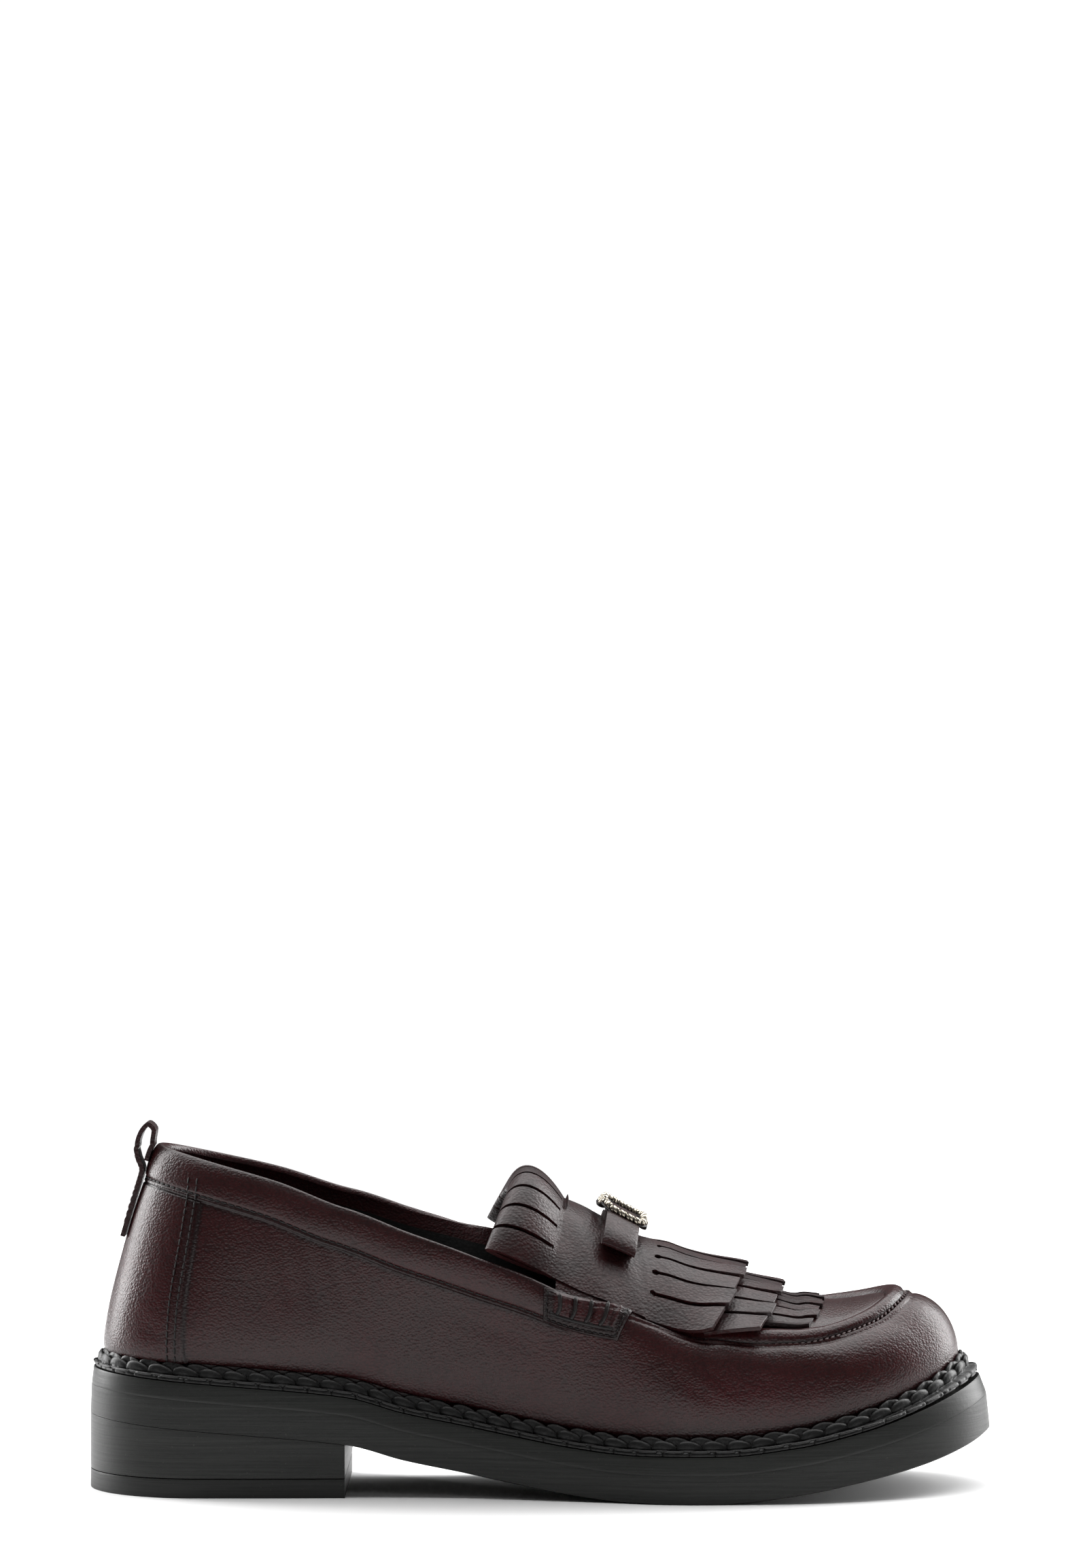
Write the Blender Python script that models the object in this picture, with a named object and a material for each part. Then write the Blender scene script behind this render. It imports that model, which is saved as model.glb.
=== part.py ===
"""Kiltie loafer for the right foot, empty, standing on its sole.

Metres, +Z up. +X runs from the heel to the toe, -Y is the outer (lateral) side, +Y the inner (medial) side.
The origin lies on the floor under the middle of the heel; the sizes along the shoe count from the heel's back.
Two curves carry the whole last: the sole's outline with
its side view, and the top line, which is the collar behind the throat corner and the apron seam in front of it.
The wall of the upper rises from the one to the other, and the arch spans the top line over the instep.
"""

import math
from collections import namedtuple

import bmesh
import bpy
import numpy as np

# Driving sizes of the sole
LENGTH = 0.2840
BALL_WIDTH = 0.0980
WAIST_WIDTH = 0.0620
HEEL_WIDTH = 0.0680
CURVE = 0.0050
HEEL_LENGTH = 0.0813
HEEL_HEIGHT = 0.0236
BREAST_HEIGHT = 0.0165
BREAST_RAMP = 0.0055
TREAD_START = 0.1730
TREAD_END = 0.1970
TOE_SPRING = 0.0180
OUTSOLE_THICK = 0.0088
MIDSOLE_THICK = 0.0053
TOPPIECE_THICK = 0.0060
EDGE_BEVEL = 0.0008
EDGE_LEAN = 0.0010
TOE_LEAN = 0.0024
INSOLE_THICK = 0.0030

# Driving sizes of the welt
REACH_BACK = 0.0058
REACH_SIDE = 0.0074
REACH_TOE = 0.0102
REACH_BACK_END = 0.14
TOE_START = 0.84
WELT_THICK = 0.0014
BEAD_HEIGHT = 0.0043
BEAD_WIDTH = 0.0026

# Driving sizes of the upper
COLLAR_BACK = 0.0219
COLLAR_HEIGHT = 0.0708
INSTEP_HEIGHT = 0.0732
APRON_FRONT = 0.2572
APRON_HEIGHT = 0.0345
TOP_WIDTH = 0.0735
MEDIAL_RISE = 0.0055
BELLY = 0.0027
THROAT_CORNER = 0.1465
THROAT_BOW = 0.0080
UPPER_WALL = 0.0020
RIDGE_WIDTH = 0.0065
RIDGE_HEIGHT = 0.0025
RIDGE_START = 0.0335
RIDGE_RUN = 0.0300
COUNTER_LENGTH = 0.0340
COUNTER_STEP = 0.0007
BAND_WIDTH = 0.0122
BAND_STEP = 0.0007
STEP_RUN = 0.0005
ARCH_POWER = 2.1

# Driving sizes of the trim
KILTIE_THICK = 0.0015
STRIP_COUNT = 10
SLIT_WIDTH = 0.0008
ROLL_LENGTH = 0.0225
ROLL_MIDDLE = 0.82
ROLL_TILT = math.radians(22)
ROLL_CROWN = 0.0115
ROLL_SAG = 0.0016
ROLL_BOW = 0.0040
TAB_WIDTH = 0.0115
TAB_LENGTH = 0.0270
TAB_BACK = 0.0035
TAB_SLANT = 0.0042
TAB_THICK = 0.0018
BOW_WIDTH = 0.0098
BOW_PLACE = 0.0195
BOW_SHIFT = 0.0014
BOW_RISE = 0.0042
RING_LONG = 0.0071
RING_WIDE = 0.0112
RING_ROPE = 0.0022
RING_BACK = 0.0004
RING_SQUARE = 0.6
RING_REST = 0.95
LOOP_HEIGHT = 0.0190
LOOP_BULGE = 0.0053
LOOP_WIDTH = 0.0110
LOOP_THICK = 0.0014

# Share across the arch at which the outer tongues of the fringe begin to climb onto the ridge
RIDGE_REST = 0.72

# Length over which a row of fringe climbs onto the row in front of it
CLIMB = 0.0055

# Pieces that touch are parted by this much
GAP = 0.0003

# Mesh resolution
SOLE_COLUMNS = 41
FRONT_COLUMNS = 17
FRINGE_ROWS = 6
RING_COLUMNS = 44

# Half widths of the sole as shares of half the heel, waist and ball widths; swing moves the middle by shares of CURVE
PlanRow = namedtuple("PlanRow", "along heel waist ball swing")
SOLE_PLAN = [
    PlanRow(0.00, 1.00, 0.00, 0.00, 0.00),
    PlanRow(0.20, 1.00, 0.00, 0.00, 0.00),
    PlanRow(0.30, 0.50, 0.50, 0.00, -0.20),
    PlanRow(0.40, 0.00, 1.00, 0.00, -0.60),
    PlanRow(0.50, 0.00, 0.38, 0.47, -1.00),
    PlanRow(0.60, 0.00, 0.00, 0.87, -0.90),
    PlanRow(0.68, 0.00, 0.00, 0.98, -0.40),
    PlanRow(0.76, 0.00, 0.00, 0.99, 0.00),
    PlanRow(0.84, 0.00, 0.00, 0.93, 0.30),
    PlanRow(1.00, 0.00, 0.00, 0.86, 1.00),
]
HEEL_ROUND = 0.125
TOE_ROUND = 0.20

# Underside of the waist, from the breast to the tread, as shares of the breast height
WaistRow = namedtuple("WaistRow", "along drop")
WAIST_SIDE = [
    WaistRow(0.20, 0.70),
    WaistRow(0.40, 0.48),
    WaistRow(0.56, 0.31),
    WaistRow(0.76, 0.12),
    WaistRow(0.92, 0.02),
]

# Underside of the toe, from the tread to the tip, as shares of the toe spring; thick is the edge's share
ToeRow = namedtuple("ToeRow", "along spring thick")
TOE_SIDE = [
    ToeRow(0.00, 0.00, 1.00),
    ToeRow(0.28, 0.14, 1.00),
    ToeRow(0.51, 0.33, 1.05),
    ToeRow(0.74, 0.57, 1.17),
    ToeRow(0.89, 0.79, 1.24),
    ToeRow(1.00, 1.00, 1.28),
]

# Top line: collar and apron are shares of COLLAR_HEIGHT and APRON_HEIGHT above the sole, half of TOP_WIDTH / 2,
# medial of MEDIAL_RISE on the inner side, swing of CURVE
TopRow = namedtuple("TopRow", "along half collar apron medial swing")
TOP_LINE = [
    TopRow(0.000, 0.66, 1.000, 0.00, 0.00, 0.00),
    TopRow(0.035, 0.68, 0.980, 0.00, 0.00, 0.00),
    TopRow(0.157, 0.73, 0.895, 0.00, 0.08, 0.00),
    TopRow(0.315, 0.84, 0.803, 0.00, 0.45, 0.00),
    TopRow(0.421, 0.92, 0.742, 0.00, 0.66, 0.00),
    TopRow(0.510, 0.98, 0.678, 0.00, 0.90, 0.00),
    TopRow(0.625, 1.00, 0.300, 0.61, 0.70, -0.14),
    TopRow(0.727, 1.00, 0.000, 1.00, 0.66, -0.04),
    TopRow(0.800, 0.98, 0.000, 0.93, 0.70, 0.10),
    TopRow(0.884, 0.92, 0.000, 0.872, 0.85, 0.30),
    TopRow(0.952, 0.88, 0.000, 0.892, 0.60, 0.55),
    TopRow(1.000, 0.86, 0.000, 1.000, 0.00, 0.80),
]
COLLAR_ROUND = 0.17
APRON_ROUND = 0.19

# Ridge of the instep above the sole, as shares of INSTEP_HEIGHT and APRON_HEIGHT, from the throat to the apron's tip
CrownRow = namedtuple("CrownRow", "along instep apron")
CROWN = [
    CrownRow(-0.170, 1.070, 0.00),
    CrownRow(-0.041, 1.030, 0.00),
    CrownRow(0.023, 1.000, 0.00),
    CrownRow(0.113, 0.955, 0.00),
    CrownRow(0.257, 0.855, 0.00),
    CrownRow(0.329, 0.812, 0.00),
    CrownRow(0.519, 0.340, 0.71),
    CrownRow(0.626, 0.110, 1.05),
    CrownRow(0.701, 0.000, 1.19),
    CrownRow(0.772, 0.000, 1.11),
    CrownRow(0.845, 0.000, 1.07),
    CrownRow(0.909, 0.000, 1.06),
    CrownRow(1.000, 0.000, 1.00),
]

# How the wall rises: squareness of its section, and its belly as a share of BELLY
WallRow = namedtuple("WallRow", "along square belly")
WALL = [
    WallRow(0.00, 1.05, 0.90),
    WallRow(0.10, 1.15, 1.00),
    WallRow(0.30, 1.35, 1.10),
    WallRow(0.50, 1.60, 0.90),
    WallRow(0.65, 1.90, 0.75),
    WallRow(0.80, 2.10, 0.60),
    WallRow(1.00, 2.20, 0.20),
]
BELLY_SKEW = 0.65

# Front edge of the heel counter, up the wall, as shares of COUNTER_LENGTH
CounterRow = namedtuple("CounterRow", "up along")
COUNTER = [CounterRow(0.00, 1.05), CounterRow(0.30, 1.05), CounterRow(0.60, 1.08), CounterRow(1.00, 1.08)]

# Section of the apron ridge, from its seam to the inner groove, as shares of RIDGE_HEIGHT
RidgeRow = namedtuple("RidgeRow", "across rise")
RIDGE = [RidgeRow(0.00, 0.00), RidgeRow(0.18, 0.75), RidgeRow(0.45, 1.00), RidgeRow(0.75, 0.65), RidgeRow(1.00, -0.10)]

# Rows of fringe: start and the ends at the middle and the sides as shares of the apron, half its share of the arch
FringeRow = namedtuple("FringeRow", "name start middle side half")
FRINGE_FRONT = FringeRow("fringe_front", 0.552, 0.760, 0.711, 0.78)
FRINGE_MIDDLE = FringeRow("fringe_middle", 0.411, 0.637, 0.565, 0.975)
KILTIE = FringeRow("kiltie", 0.329, 0.525, 0.432, 0.985)

# Flap of the kiltie behind its fringe: half is its share of the arch
FlapRow = namedtuple("FlapRow", "along half")
FLAP = [
    FlapRow(-0.010, 0.930),
    FlapRow(0.036, 0.940),
    FlapRow(0.082, 0.950),
    FlapRow(0.165, 0.960),
    FlapRow(0.247, 0.975),
]
TIP_CURL = 0.0004

# Path of the pull loop: up as shares of LOOP_HEIGHT from the collar's top, off the heel as shares of LOOP_BULGE
LoopRow = namedtuple("LoopRow", "up off")
PULL_LOOP = [
    LoopRow(-1.48, 0.02),
    LoopRow(-1.06, 0.02),
    LoopRow(-0.68, 0.02),
    LoopRow(-0.43, 0.05),
    LoopRow(-0.19, 0.60),
    LoopRow(0.02, 1.00),
    LoopRow(0.24, 0.78),
    LoopRow(0.40, 0.22),
    LoopRow(0.26, -0.26),
    LoopRow(0.05, -0.17),
    LoopRow(-0.13, -0.20),
    LoopRow(-0.25, -0.24),
]

# Section of the bow, seen from the front: out as a share of half the arch, its two faces over the kiltie
# as shares of BOW_RISE
BowRow = namedtuple("BowRow", "out under over")
BOW = [
    BowRow(0.00, 0.00, 0.70),
    BowRow(0.20, 0.00, 0.82),
    BowRow(0.36, 0.00, 1.00),
    BowRow(0.50, 0.03, 1.00),
    BowRow(0.58, 0.14, 0.88),
    BowRow(0.62, 0.46, 0.62),
]


def column(rows, name):
    """One named column of a table as an array."""
    return np.array([getattr(row, name) for row in rows], dtype=float)


def smooth(at, values, x):
    """Cubic through the rows that never overshoots: slopes are harmonic means of the neighbouring ones."""
    at, values, x = (np.asarray(a, dtype=float) for a in (at, values, x))
    run = np.diff(at)
    slope = np.diff(values) / run
    product = slope[:-1] * slope[1:]
    total = slope[:-1] + slope[1:]
    inner = np.where(product > 0, 2 * product / np.where(product > 0, total, 1), 0)
    tangent = np.concatenate([slope[:1], inner, slope[-1:]])
    i = np.clip(np.searchsorted(at, x, side="right") - 1, 0, len(run) - 1)
    t = np.clip((x - at[i]) / run[i], 0, 1)
    start = values[i] * (1 + 2 * t) * (1 - t) ** 2 + tangent[i] * run[i] * t * (1 - t) ** 2
    end = values[i + 1] * t**2 * (3 - 2 * t) - tangent[i + 1] * run[i] * t**2 * (1 - t)
    return start + end


def ramp(x, start, end):
    """Rises from 0 at start to 1 at end along a soft step."""
    t = np.clip((np.asarray(x, dtype=float) - start) / (end - start), 0, 1)
    return t * t * (3 - 2 * t)


def along_of(turn):
    """Share of a closed line's length at a turn from 0, its back, to 1, its front, closer together at both."""
    return (1 - np.cos(np.pi * np.asarray(turn, dtype=float))) / 2


def turn_of(along):
    """Inverse of along_of."""
    return np.arccos(np.clip(1 - 2 * np.asarray(along, dtype=float), -1, 1)) / np.pi


def round_ends(along, back, front):
    """Quarter ellipses that close a line's half width at its back and front."""
    at_back = np.clip(1 - along / back, 0, 1)
    at_front = np.clip(1 - (1 - along) / front, 0, 1)
    return np.sqrt(1 - at_back**2) * np.sqrt(1 - at_front**2)


def sole_edge(turn, side):
    """Plan of the sole's edge, from its back at turn 0 to its tip at 1; side is -1 outside and 1 inside."""
    along = along_of(turn)
    at = column(SOLE_PLAN, "along")
    shares = zip(("heel", "waist", "ball"), (HEEL_WIDTH, WAIST_WIDTH, BALL_WIDTH))
    half = sum(smooth(at, column(SOLE_PLAN, name), along) * width / 2 for name, width in shares)
    middle = CURVE * smooth(at, column(SOLE_PLAN, "swing"), along)
    flip = np.where((np.asarray(turn) < 0) | (np.asarray(turn) > 1), -1, 1)
    return LENGTH * along, middle + side * flip * half * round_ends(along, HEEL_ROUND, TOE_ROUND)


def inward(line, turn, side):
    """Unit normal in plan, pointing into the closed line."""
    step = 1e-4
    ahead_x, ahead_y = line(np.asarray(turn) + step, side)[:2]
    back_x, back_y = line(np.asarray(turn) - step, side)[:2]
    run_x = ahead_x - back_x
    run_y = ahead_y - back_y
    size = np.hypot(run_x, run_y)
    return side * run_y / size, -side * run_x / size


def sole_line(turn, side, inset):
    """The sole's edge moved inwards by inset."""
    x, y = sole_edge(turn, side)
    in_x, in_y = inward(sole_edge, turn, side)
    return x + inset * in_x, y + inset * in_y


def reach(turn):
    """Width of the welt that shows outside the upper."""
    along = along_of(turn)
    back_to_side = REACH_BACK + (REACH_SIDE - REACH_BACK) * ramp(along, 0.0, REACH_BACK_END)
    return back_to_side + (REACH_TOE - REACH_SIDE) * ramp(along, TOE_START, 1.0)


def underside(x):
    """Height of the outsole's lower face over the floor."""
    waist = HEEL_LENGTH + (TREAD_START - HEEL_LENGTH) * column(WAIST_SIDE, "along")
    toe = TREAD_END + (LENGTH - TREAD_END) * column(TOE_SIDE, "along")
    at = np.concatenate([[0, HEEL_LENGTH / 2, HEEL_LENGTH], waist, [TREAD_START], toe])
    seat = [HEEL_HEIGHT, 0.53 * HEEL_HEIGHT + 0.47 * BREAST_HEIGHT, BREAST_HEIGHT]
    height = np.concatenate([seat, BREAST_HEIGHT * column(WAIST_SIDE, "drop"), [0], TOE_SPRING * column(TOE_SIDE, "spring")])
    return smooth(at, height, x)


def edge_share(x):
    """Growth of the sole's layers towards the toe."""
    return smooth(TREAD_END + (LENGTH - TREAD_END) * column(TOE_SIDE, "along"), column(TOE_SIDE, "thick"), x)


def outsole_top(x):
    return underside(x) + OUTSOLE_THICK * edge_share(x)


def seat(x):
    """Height of the midsole's upper face, on which upper, welt and insole stand."""
    return outsole_top(x) + GAP + MIDSOLE_THICK * edge_share(x)


def feather(turn, side):
    """Line where the wall of the upper leaves the bead."""
    x, y = sole_line(turn, side, reach(turn))
    return x, y, seat(x) + WELT_THICK + BEAD_HEIGHT


def top_at(x, side):
    """Place across and height of the top line over a point of the length."""
    along = np.clip((np.asarray(x, dtype=float) - COLLAR_BACK) / (APRON_FRONT - COLLAR_BACK), 0, 1)
    at = column(TOP_LINE, "along")
    half = TOP_WIDTH / 2 * smooth(at, column(TOP_LINE, "half"), along) * round_ends(along, COLLAR_ROUND, APRON_ROUND)
    middle = CURVE * smooth(at, column(TOP_LINE, "swing"), along)
    rise = COLLAR_HEIGHT * smooth(at, column(TOP_LINE, "collar"), along)
    rise = rise + APRON_HEIGHT * smooth(at, column(TOP_LINE, "apron"), along)
    rise = rise + (side > 0) * MEDIAL_RISE * smooth(at, column(TOP_LINE, "medial"), along)
    return middle + side * half, seat(x) + rise


def top_line(turn, side):
    """Collar and apron seam as one closed line."""
    x = COLLAR_BACK + (APRON_FRONT - COLLAR_BACK) * along_of(turn)
    flip = np.where((np.asarray(turn) < 0) | (np.asarray(turn) > 1), -1, 1)
    lateral, _ = top_at(x, -1)
    medial, _ = top_at(x, 1)
    _, z = top_at(x, side)
    return x, (lateral + medial) / 2 + side * flip * (medial - lateral) / 2, z


def wall(turn, side, up):
    """The upper's wall: a quarter of a superellipse from the feather line to the top line, with a low belly."""
    foot_x, foot_y, foot_z = feather(turn, side)
    top_x, top_y, top_z = top_line(turn, side)
    in_x, in_y = inward(sole_edge, turn, side)
    along = along_of(turn)
    power = 2 / smooth(column(WALL, "along"), column(WALL, "square"), along)
    across = 1 - np.cos(up * np.pi / 2) ** power
    rise = np.sin(up * np.pi / 2) ** power
    belly = BELLY * smooth(column(WALL, "along"), column(WALL, "belly"), along) * np.sin(np.pi * up**BELLY_SKEW)
    x = foot_x + (top_x - foot_x) * across - belly * in_x
    y = foot_y + (top_y - foot_y) * across - belly * in_y
    return x, y, foot_z + (top_z - foot_z) * rise


def below_top(turn, side, up):
    """Distance of a point of the wall from the top line over it."""
    point = np.array(np.broadcast_arrays(*wall(turn, side, up)))
    top = np.array(np.broadcast_arrays(*top_line(turn + 0 * up, side)))
    return np.sqrt(((top - point) ** 2).sum(axis=0))


def share_below(turn, side, down):
    """Share up the wall at a distance down from the top line."""
    low = 0 * (turn + down)
    high = low + 1
    for _ in range(30):
        middle = (low + high) / 2
        far = below_top(turn, side, middle) > down
        low = np.where(far, middle, low)
        high = np.where(far, high, middle)
    return (low + high) / 2


def apron_place(share):
    """Place along the shoe at a share of the way from the throat corner to the apron's tip."""
    return THROAT_CORNER + (APRON_FRONT - THROAT_CORNER) * share


def arch_height(x, y):
    """Height of the instep over a point of the plan: it spans the top line's two sides and meets the crown."""
    lateral_y, lateral_z = top_at(x, -1)
    medial_y, medial_z = top_at(x, 1)
    half = np.maximum((medial_y - lateral_y) / 2, 1e-6)
    across = np.clip((y - (lateral_y + medial_y) / 2) / half, -1, 1)
    at = apron_place(column(CROWN, "along"))
    crown = seat(x) + INSTEP_HEIGHT * smooth(at, column(CROWN, "instep"), x)
    crown = crown + APRON_HEIGHT * smooth(at, column(CROWN, "apron"), x)
    edge = lateral_z + (medial_z - lateral_z) * (1 + across) / 2
    lift = (crown - (lateral_z + medial_z) / 2) * (1 - np.abs(across) ** ARCH_POWER)
    return edge + lift


def arch_point(x, across):
    """Point of the instep at a share across the arch, -1 at the outer and 1 at the inner top line."""
    lateral_y, _ = top_at(x, -1)
    medial_y, _ = top_at(x, 1)
    y = (lateral_y + medial_y) / 2 + across * (medial_y - lateral_y) / 2
    return np.stack(np.broadcast_arrays(x, y, arch_height(x, y)), axis=-1)


def arch_normal(x, across):
    """Unit normal of the instep, pointing up and out."""
    step = 1e-5
    along = arch_point(x + step, across) - arch_point(x - step, across)
    sideways = arch_point(x, across + step) - arch_point(x, across - step)
    normal = np.cross(along, sideways)
    return normal / np.linalg.norm(normal, axis=-1, keepdims=True)


def counter_step(turn, up):
    """Height of the heel counter over the quarter: full behind its front edge."""
    edge = counter_turn(up)
    run = STEP_RUN / LENGTH
    return COUNTER_STEP * (1 - ramp(turn, edge - run, edge + run))


def counter_turn(up):
    """Turn of the counter's front edge at a share up the wall."""
    place = COUNTER_LENGTH * smooth(column(COUNTER, "up"), column(COUNTER, "along"), up)
    back = REACH_BACK + (COLLAR_BACK - REACH_BACK) * up
    front = LENGTH - REACH_TOE + (APRON_FRONT - LENGTH + REACH_TOE) * up
    return turn_of((place - back) / (front - back))


THROAT_TURN = float(turn_of((THROAT_CORNER - COLLAR_BACK) / (APRON_FRONT - COLLAR_BACK)))


def band_foot(turn, side, extra=0.0):
    """Share up the wall at which the collar band begins; it keeps its last value in front of the throat."""
    return share_below(np.minimum(turn, THROAT_TURN), side, BAND_WIDTH + extra)


def band_step(turn, side, up):
    """Height of the folded collar band over the quarter."""
    down = below_top(turn, side, up)
    return BAND_STEP * (1 - ramp(down, BAND_WIDTH - STEP_RUN, BAND_WIDTH + STEP_RUN)) * (turn <= THROAT_TURN + 1e-9)


def ridge_rise(x):
    """Share of the apron ridge's height: it dies away under the kiltie."""
    start = THROAT_CORNER + RIDGE_START
    return ramp(x, start, start + RIDGE_RUN)


class Skin:
    """Open surface gathered from grids of points; grids that share an edge are joined along it."""

    def __init__(self):
        self.points = []
        self.faces = []
        self.values = []
        self.count = 0

    def add(self, grid, value=0.0, keep=None):
        """Adds a grid of points, with a number for each point, leaving out the cells that keep marks false."""
        rows, columns = grid.shape[:2]
        index = self.count + np.arange(rows * columns).reshape(rows, columns)
        quads = np.stack([index[:-1, :-1], index[:-1, 1:], index[1:, 1:], index[1:, :-1]], axis=-1)
        if keep is not None:
            quads = quads[keep]
        self.points.append(grid.reshape(-1, 3))
        self.values.append(np.broadcast_to(value, (rows, columns)).reshape(-1))
        self.faces.append(quads.reshape(-1, 4))
        self.count += rows * columns

    def weld(self):
        """Merges equal points, drops flattened faces and unused points."""
        points = np.concatenate(self.points)
        values = np.concatenate(self.values)
        keys = np.round(points / 1e-7).astype(np.int64)
        _, first, twin = np.unique(keys, axis=0, return_index=True, return_inverse=True)
        faces = []
        for quad in twin.reshape(-1)[np.concatenate(self.faces)]:
            corners = [int(v) for i, v in enumerate(quad) if v != quad[i - 1]]
            if len(corners) > 2:
                faces.append(corners)
        used, faces_flat = np.unique(np.concatenate(faces), return_inverse=True)
        cuts = np.cumsum([len(face) for face in faces])[:-1]
        faces = [list(map(int, part)) for part in np.split(faces_flat, cuts)]
        return points[first][used], values[first][used], faces

    def solid(self, below, above, carried=False):
        """Gives the surface a wall from below to above along its normals; carried adds each point's own number."""
        points, values, faces = self.weld()
        normals = np.zeros_like(points)
        for face in faces:
            corner = points[face]
            normal = np.cross(corner[2] - corner[0], corner[-1] - corner[1])
            normals[face] += normal
        normals /= np.linalg.norm(normals, axis=1, keepdims=True)
        lift = values if carried else np.zeros(len(points))
        outer = points + normals * (above + lift)[:, None]
        inner = points + normals * below
        count = len(points)
        edges = {}
        for face in faces:
            for i, start in enumerate(face):
                edges[(face[i - 1], start)] = True
        rims = [(a, b) for a, b in edges if (b, a) not in edges]
        shell = [tuple(face) for face in faces]
        shell += [tuple(v + count for v in reversed(face)) for face in faces]
        shell += [(b, a, a + count, b + count) for a, b in rims]
        return np.concatenate([outer, inner]), shell


def material(name, colour, roughness, metallic=0.0):
    """A plain surface finish."""
    made = bpy.data.materials.new(name)
    made.use_nodes = True
    shader = made.node_tree.nodes["Principled BSDF"]
    shader.inputs["Base Color"].default_value = (*colour, 1)
    shader.inputs["Roughness"].default_value = roughness
    shader.inputs["Metallic"].default_value = metallic
    return made


def place(name, points, faces, finish):
    """Makes one closed piece with its faces turned outwards."""
    mesh = bpy.data.meshes.new(name)
    mesh.from_pydata([(x - HEEL_LENGTH / 2, y, z) for x, y, z in points], [], faces)
    shape = bmesh.new()
    shape.from_mesh(mesh)
    bmesh.ops.recalc_face_normals(shape, faces=shape.faces)
    shape.to_mesh(mesh)
    shape.free()
    mesh.shade_smooth()
    mesh.set_sharp_from_angle(angle=math.radians(35))
    mesh.materials.append(finish)
    made = bpy.data.objects.new(name, mesh)
    SHOE.objects.link(made)
    return made


def grid_of(x, y, z):
    return np.stack(np.broadcast_arrays(x, y, z), axis=-1)


def slab(name, turns, insets, heights, finish, across=1, front=None):
    """Closed layer of the sole between two heights, spanned from side to side along its length.

    insets gives each row's inset from the sole's edge, heights each row's height over x, from bottom to top.
    front moves the points of the last section forward, by share across and share up, where the layer ends early.
    """
    rows = len(heights)
    share = np.linspace(0, 1, across + 1)
    sheets = np.zeros((rows, len(turns), across + 1, 3))
    for row, height in enumerate(heights):
        lateral_x, lateral_y = sole_line(turns, -1, insets(turns)[row])
        medial_x, medial_y = sole_line(turns, 1, insets(turns)[row])
        x = lateral_x[:, None] + (medial_x - lateral_x)[:, None] * share
        y = lateral_y[:, None] + (medial_y - lateral_y)[:, None] * share
        if front is not None:
            x[-1] = front(share, row / (rows - 1))
        sheets[row] = grid_of(x, y, height(x))
    skin = Skin()
    skin.add(sheets[0][:, ::-1])
    skin.add(sheets[-1])
    skin.add(sheets[:, :, 0].transpose(1, 0, 2)[::-1])
    skin.add(sheets[:, :, -1].transpose(1, 0, 2))
    skin.add(sheets[:, -1].transpose(1, 0, 2)[::-1])
    points, _, faces = skin.weld()
    return place(name, points, faces, finish)


def make_sole():
    """Outsole, midsole, heel block and top piece, each layer following the one below."""
    turns = np.linspace(0, 1, SOLE_COLUMNS)
    bevel_top = OUTSOLE_THICK / 4
    lean = ramp(along_of(turns), TOE_START, 1.0)
    outsole_insets = (EDGE_BEVEL + 0 * lean, 0 * lean, EDGE_LEAN / 3 + TOE_LEAN / 3 * lean)
    outsole_heights = (underside, lambda x: underside(x) + bevel_top, outsole_top)
    slab("outsole", turns, lambda t: outsole_insets, outsole_heights, SOLE_LEATHER)
    midsole_insets = (EDGE_LEAN / 3 + TOE_LEAN / 3 * lean, EDGE_LEAN + TOE_LEAN * lean)
    midsole_heights = (lambda x: outsole_top(x) + GAP, seat)
    slab("midsole", turns, lambda t: midsole_insets, midsole_heights, SOLE_LEATHER)
    breast_turn = float(turn_of(HEEL_LENGTH / LENGTH))
    heel_turns = np.linspace(0, breast_turn, 13)
    heel_inset = lambda t: (EDGE_BEVEL,) * 4
    foot = TOPPIECE_THICK + GAP
    rise = lambda share: lambda x: foot + (underside(x) - GAP - foot) * share
    breast = lambda across, up: HEEL_LENGTH + BREAST_RAMP * across**0.7 * up**2.5
    slab("heel", heel_turns, heel_inset, [rise(k / 3) for k in range(4)], SOLE_LEATHER, 6, breast)
    flat = lambda height: lambda x: height + 0 * x
    straight = lambda across, up: HEEL_LENGTH + 0 * across
    heights = (flat(0.0), flat(TOPPIECE_THICK))
    slab("heel_toppiece", heel_turns, lambda t: (EDGE_BEVEL,) * 2, heights, RUBBER, 1, straight)


def make_insole():
    """Board and sock inside the upper."""
    turns = np.linspace(0, 1, SOLE_COLUMNS)
    inset = reach(turns) + UPPER_WALL + 3 * GAP
    heights = (lambda x: seat(x) + GAP, lambda x: seat(x) + GAP + INSOLE_THICK)
    slab("insole", turns, lambda t: (inset, inset), heights, LINING)


def make_welt():
    """Storm welt: a strip on the midsole that turns up into a bead against the upper."""
    turn = np.linspace(0, 1, 37)
    width = reach(turn) - GAP
    bead = width - BEAD_WIDTH
    outer = EDGE_LEAN + 2 * GAP + TOE_LEAN * ramp(along_of(turn), TOE_START, 1.0)
    foot = GAP * np.ones_like(turn)
    strip = GAP + WELT_THICK * np.ones_like(turn)
    top = WELT_THICK + BEAD_HEIGHT
    section = [
        (outer, foot),
        (outer, strip),
        (bead - BEAD_WIDTH * 0.1, strip),
        (bead - BEAD_WIDTH * 0.15, foot + top * 0.6),
        (bead + BEAD_WIDTH * 0.1, foot + top * 0.88),
        (bead + BEAD_WIDTH * 0.5, foot + top * 0.97),
        (width, foot + top * 0.9),
        (width, foot),
        (outer, foot),
    ]
    skin = Skin()
    for side in (-1, 1):
        rows = []
        for inset, height in section:
            x, y = sole_line(turn, side, inset)
            rows.append(grid_of(x, y, seat(x) + height))
        grid = np.stack(rows)
        skin.add(grid if side < 0 else grid[::-1])
    points, _, faces = skin.weld()
    place("welt", points, faces, WELT_LEATHER)


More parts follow.
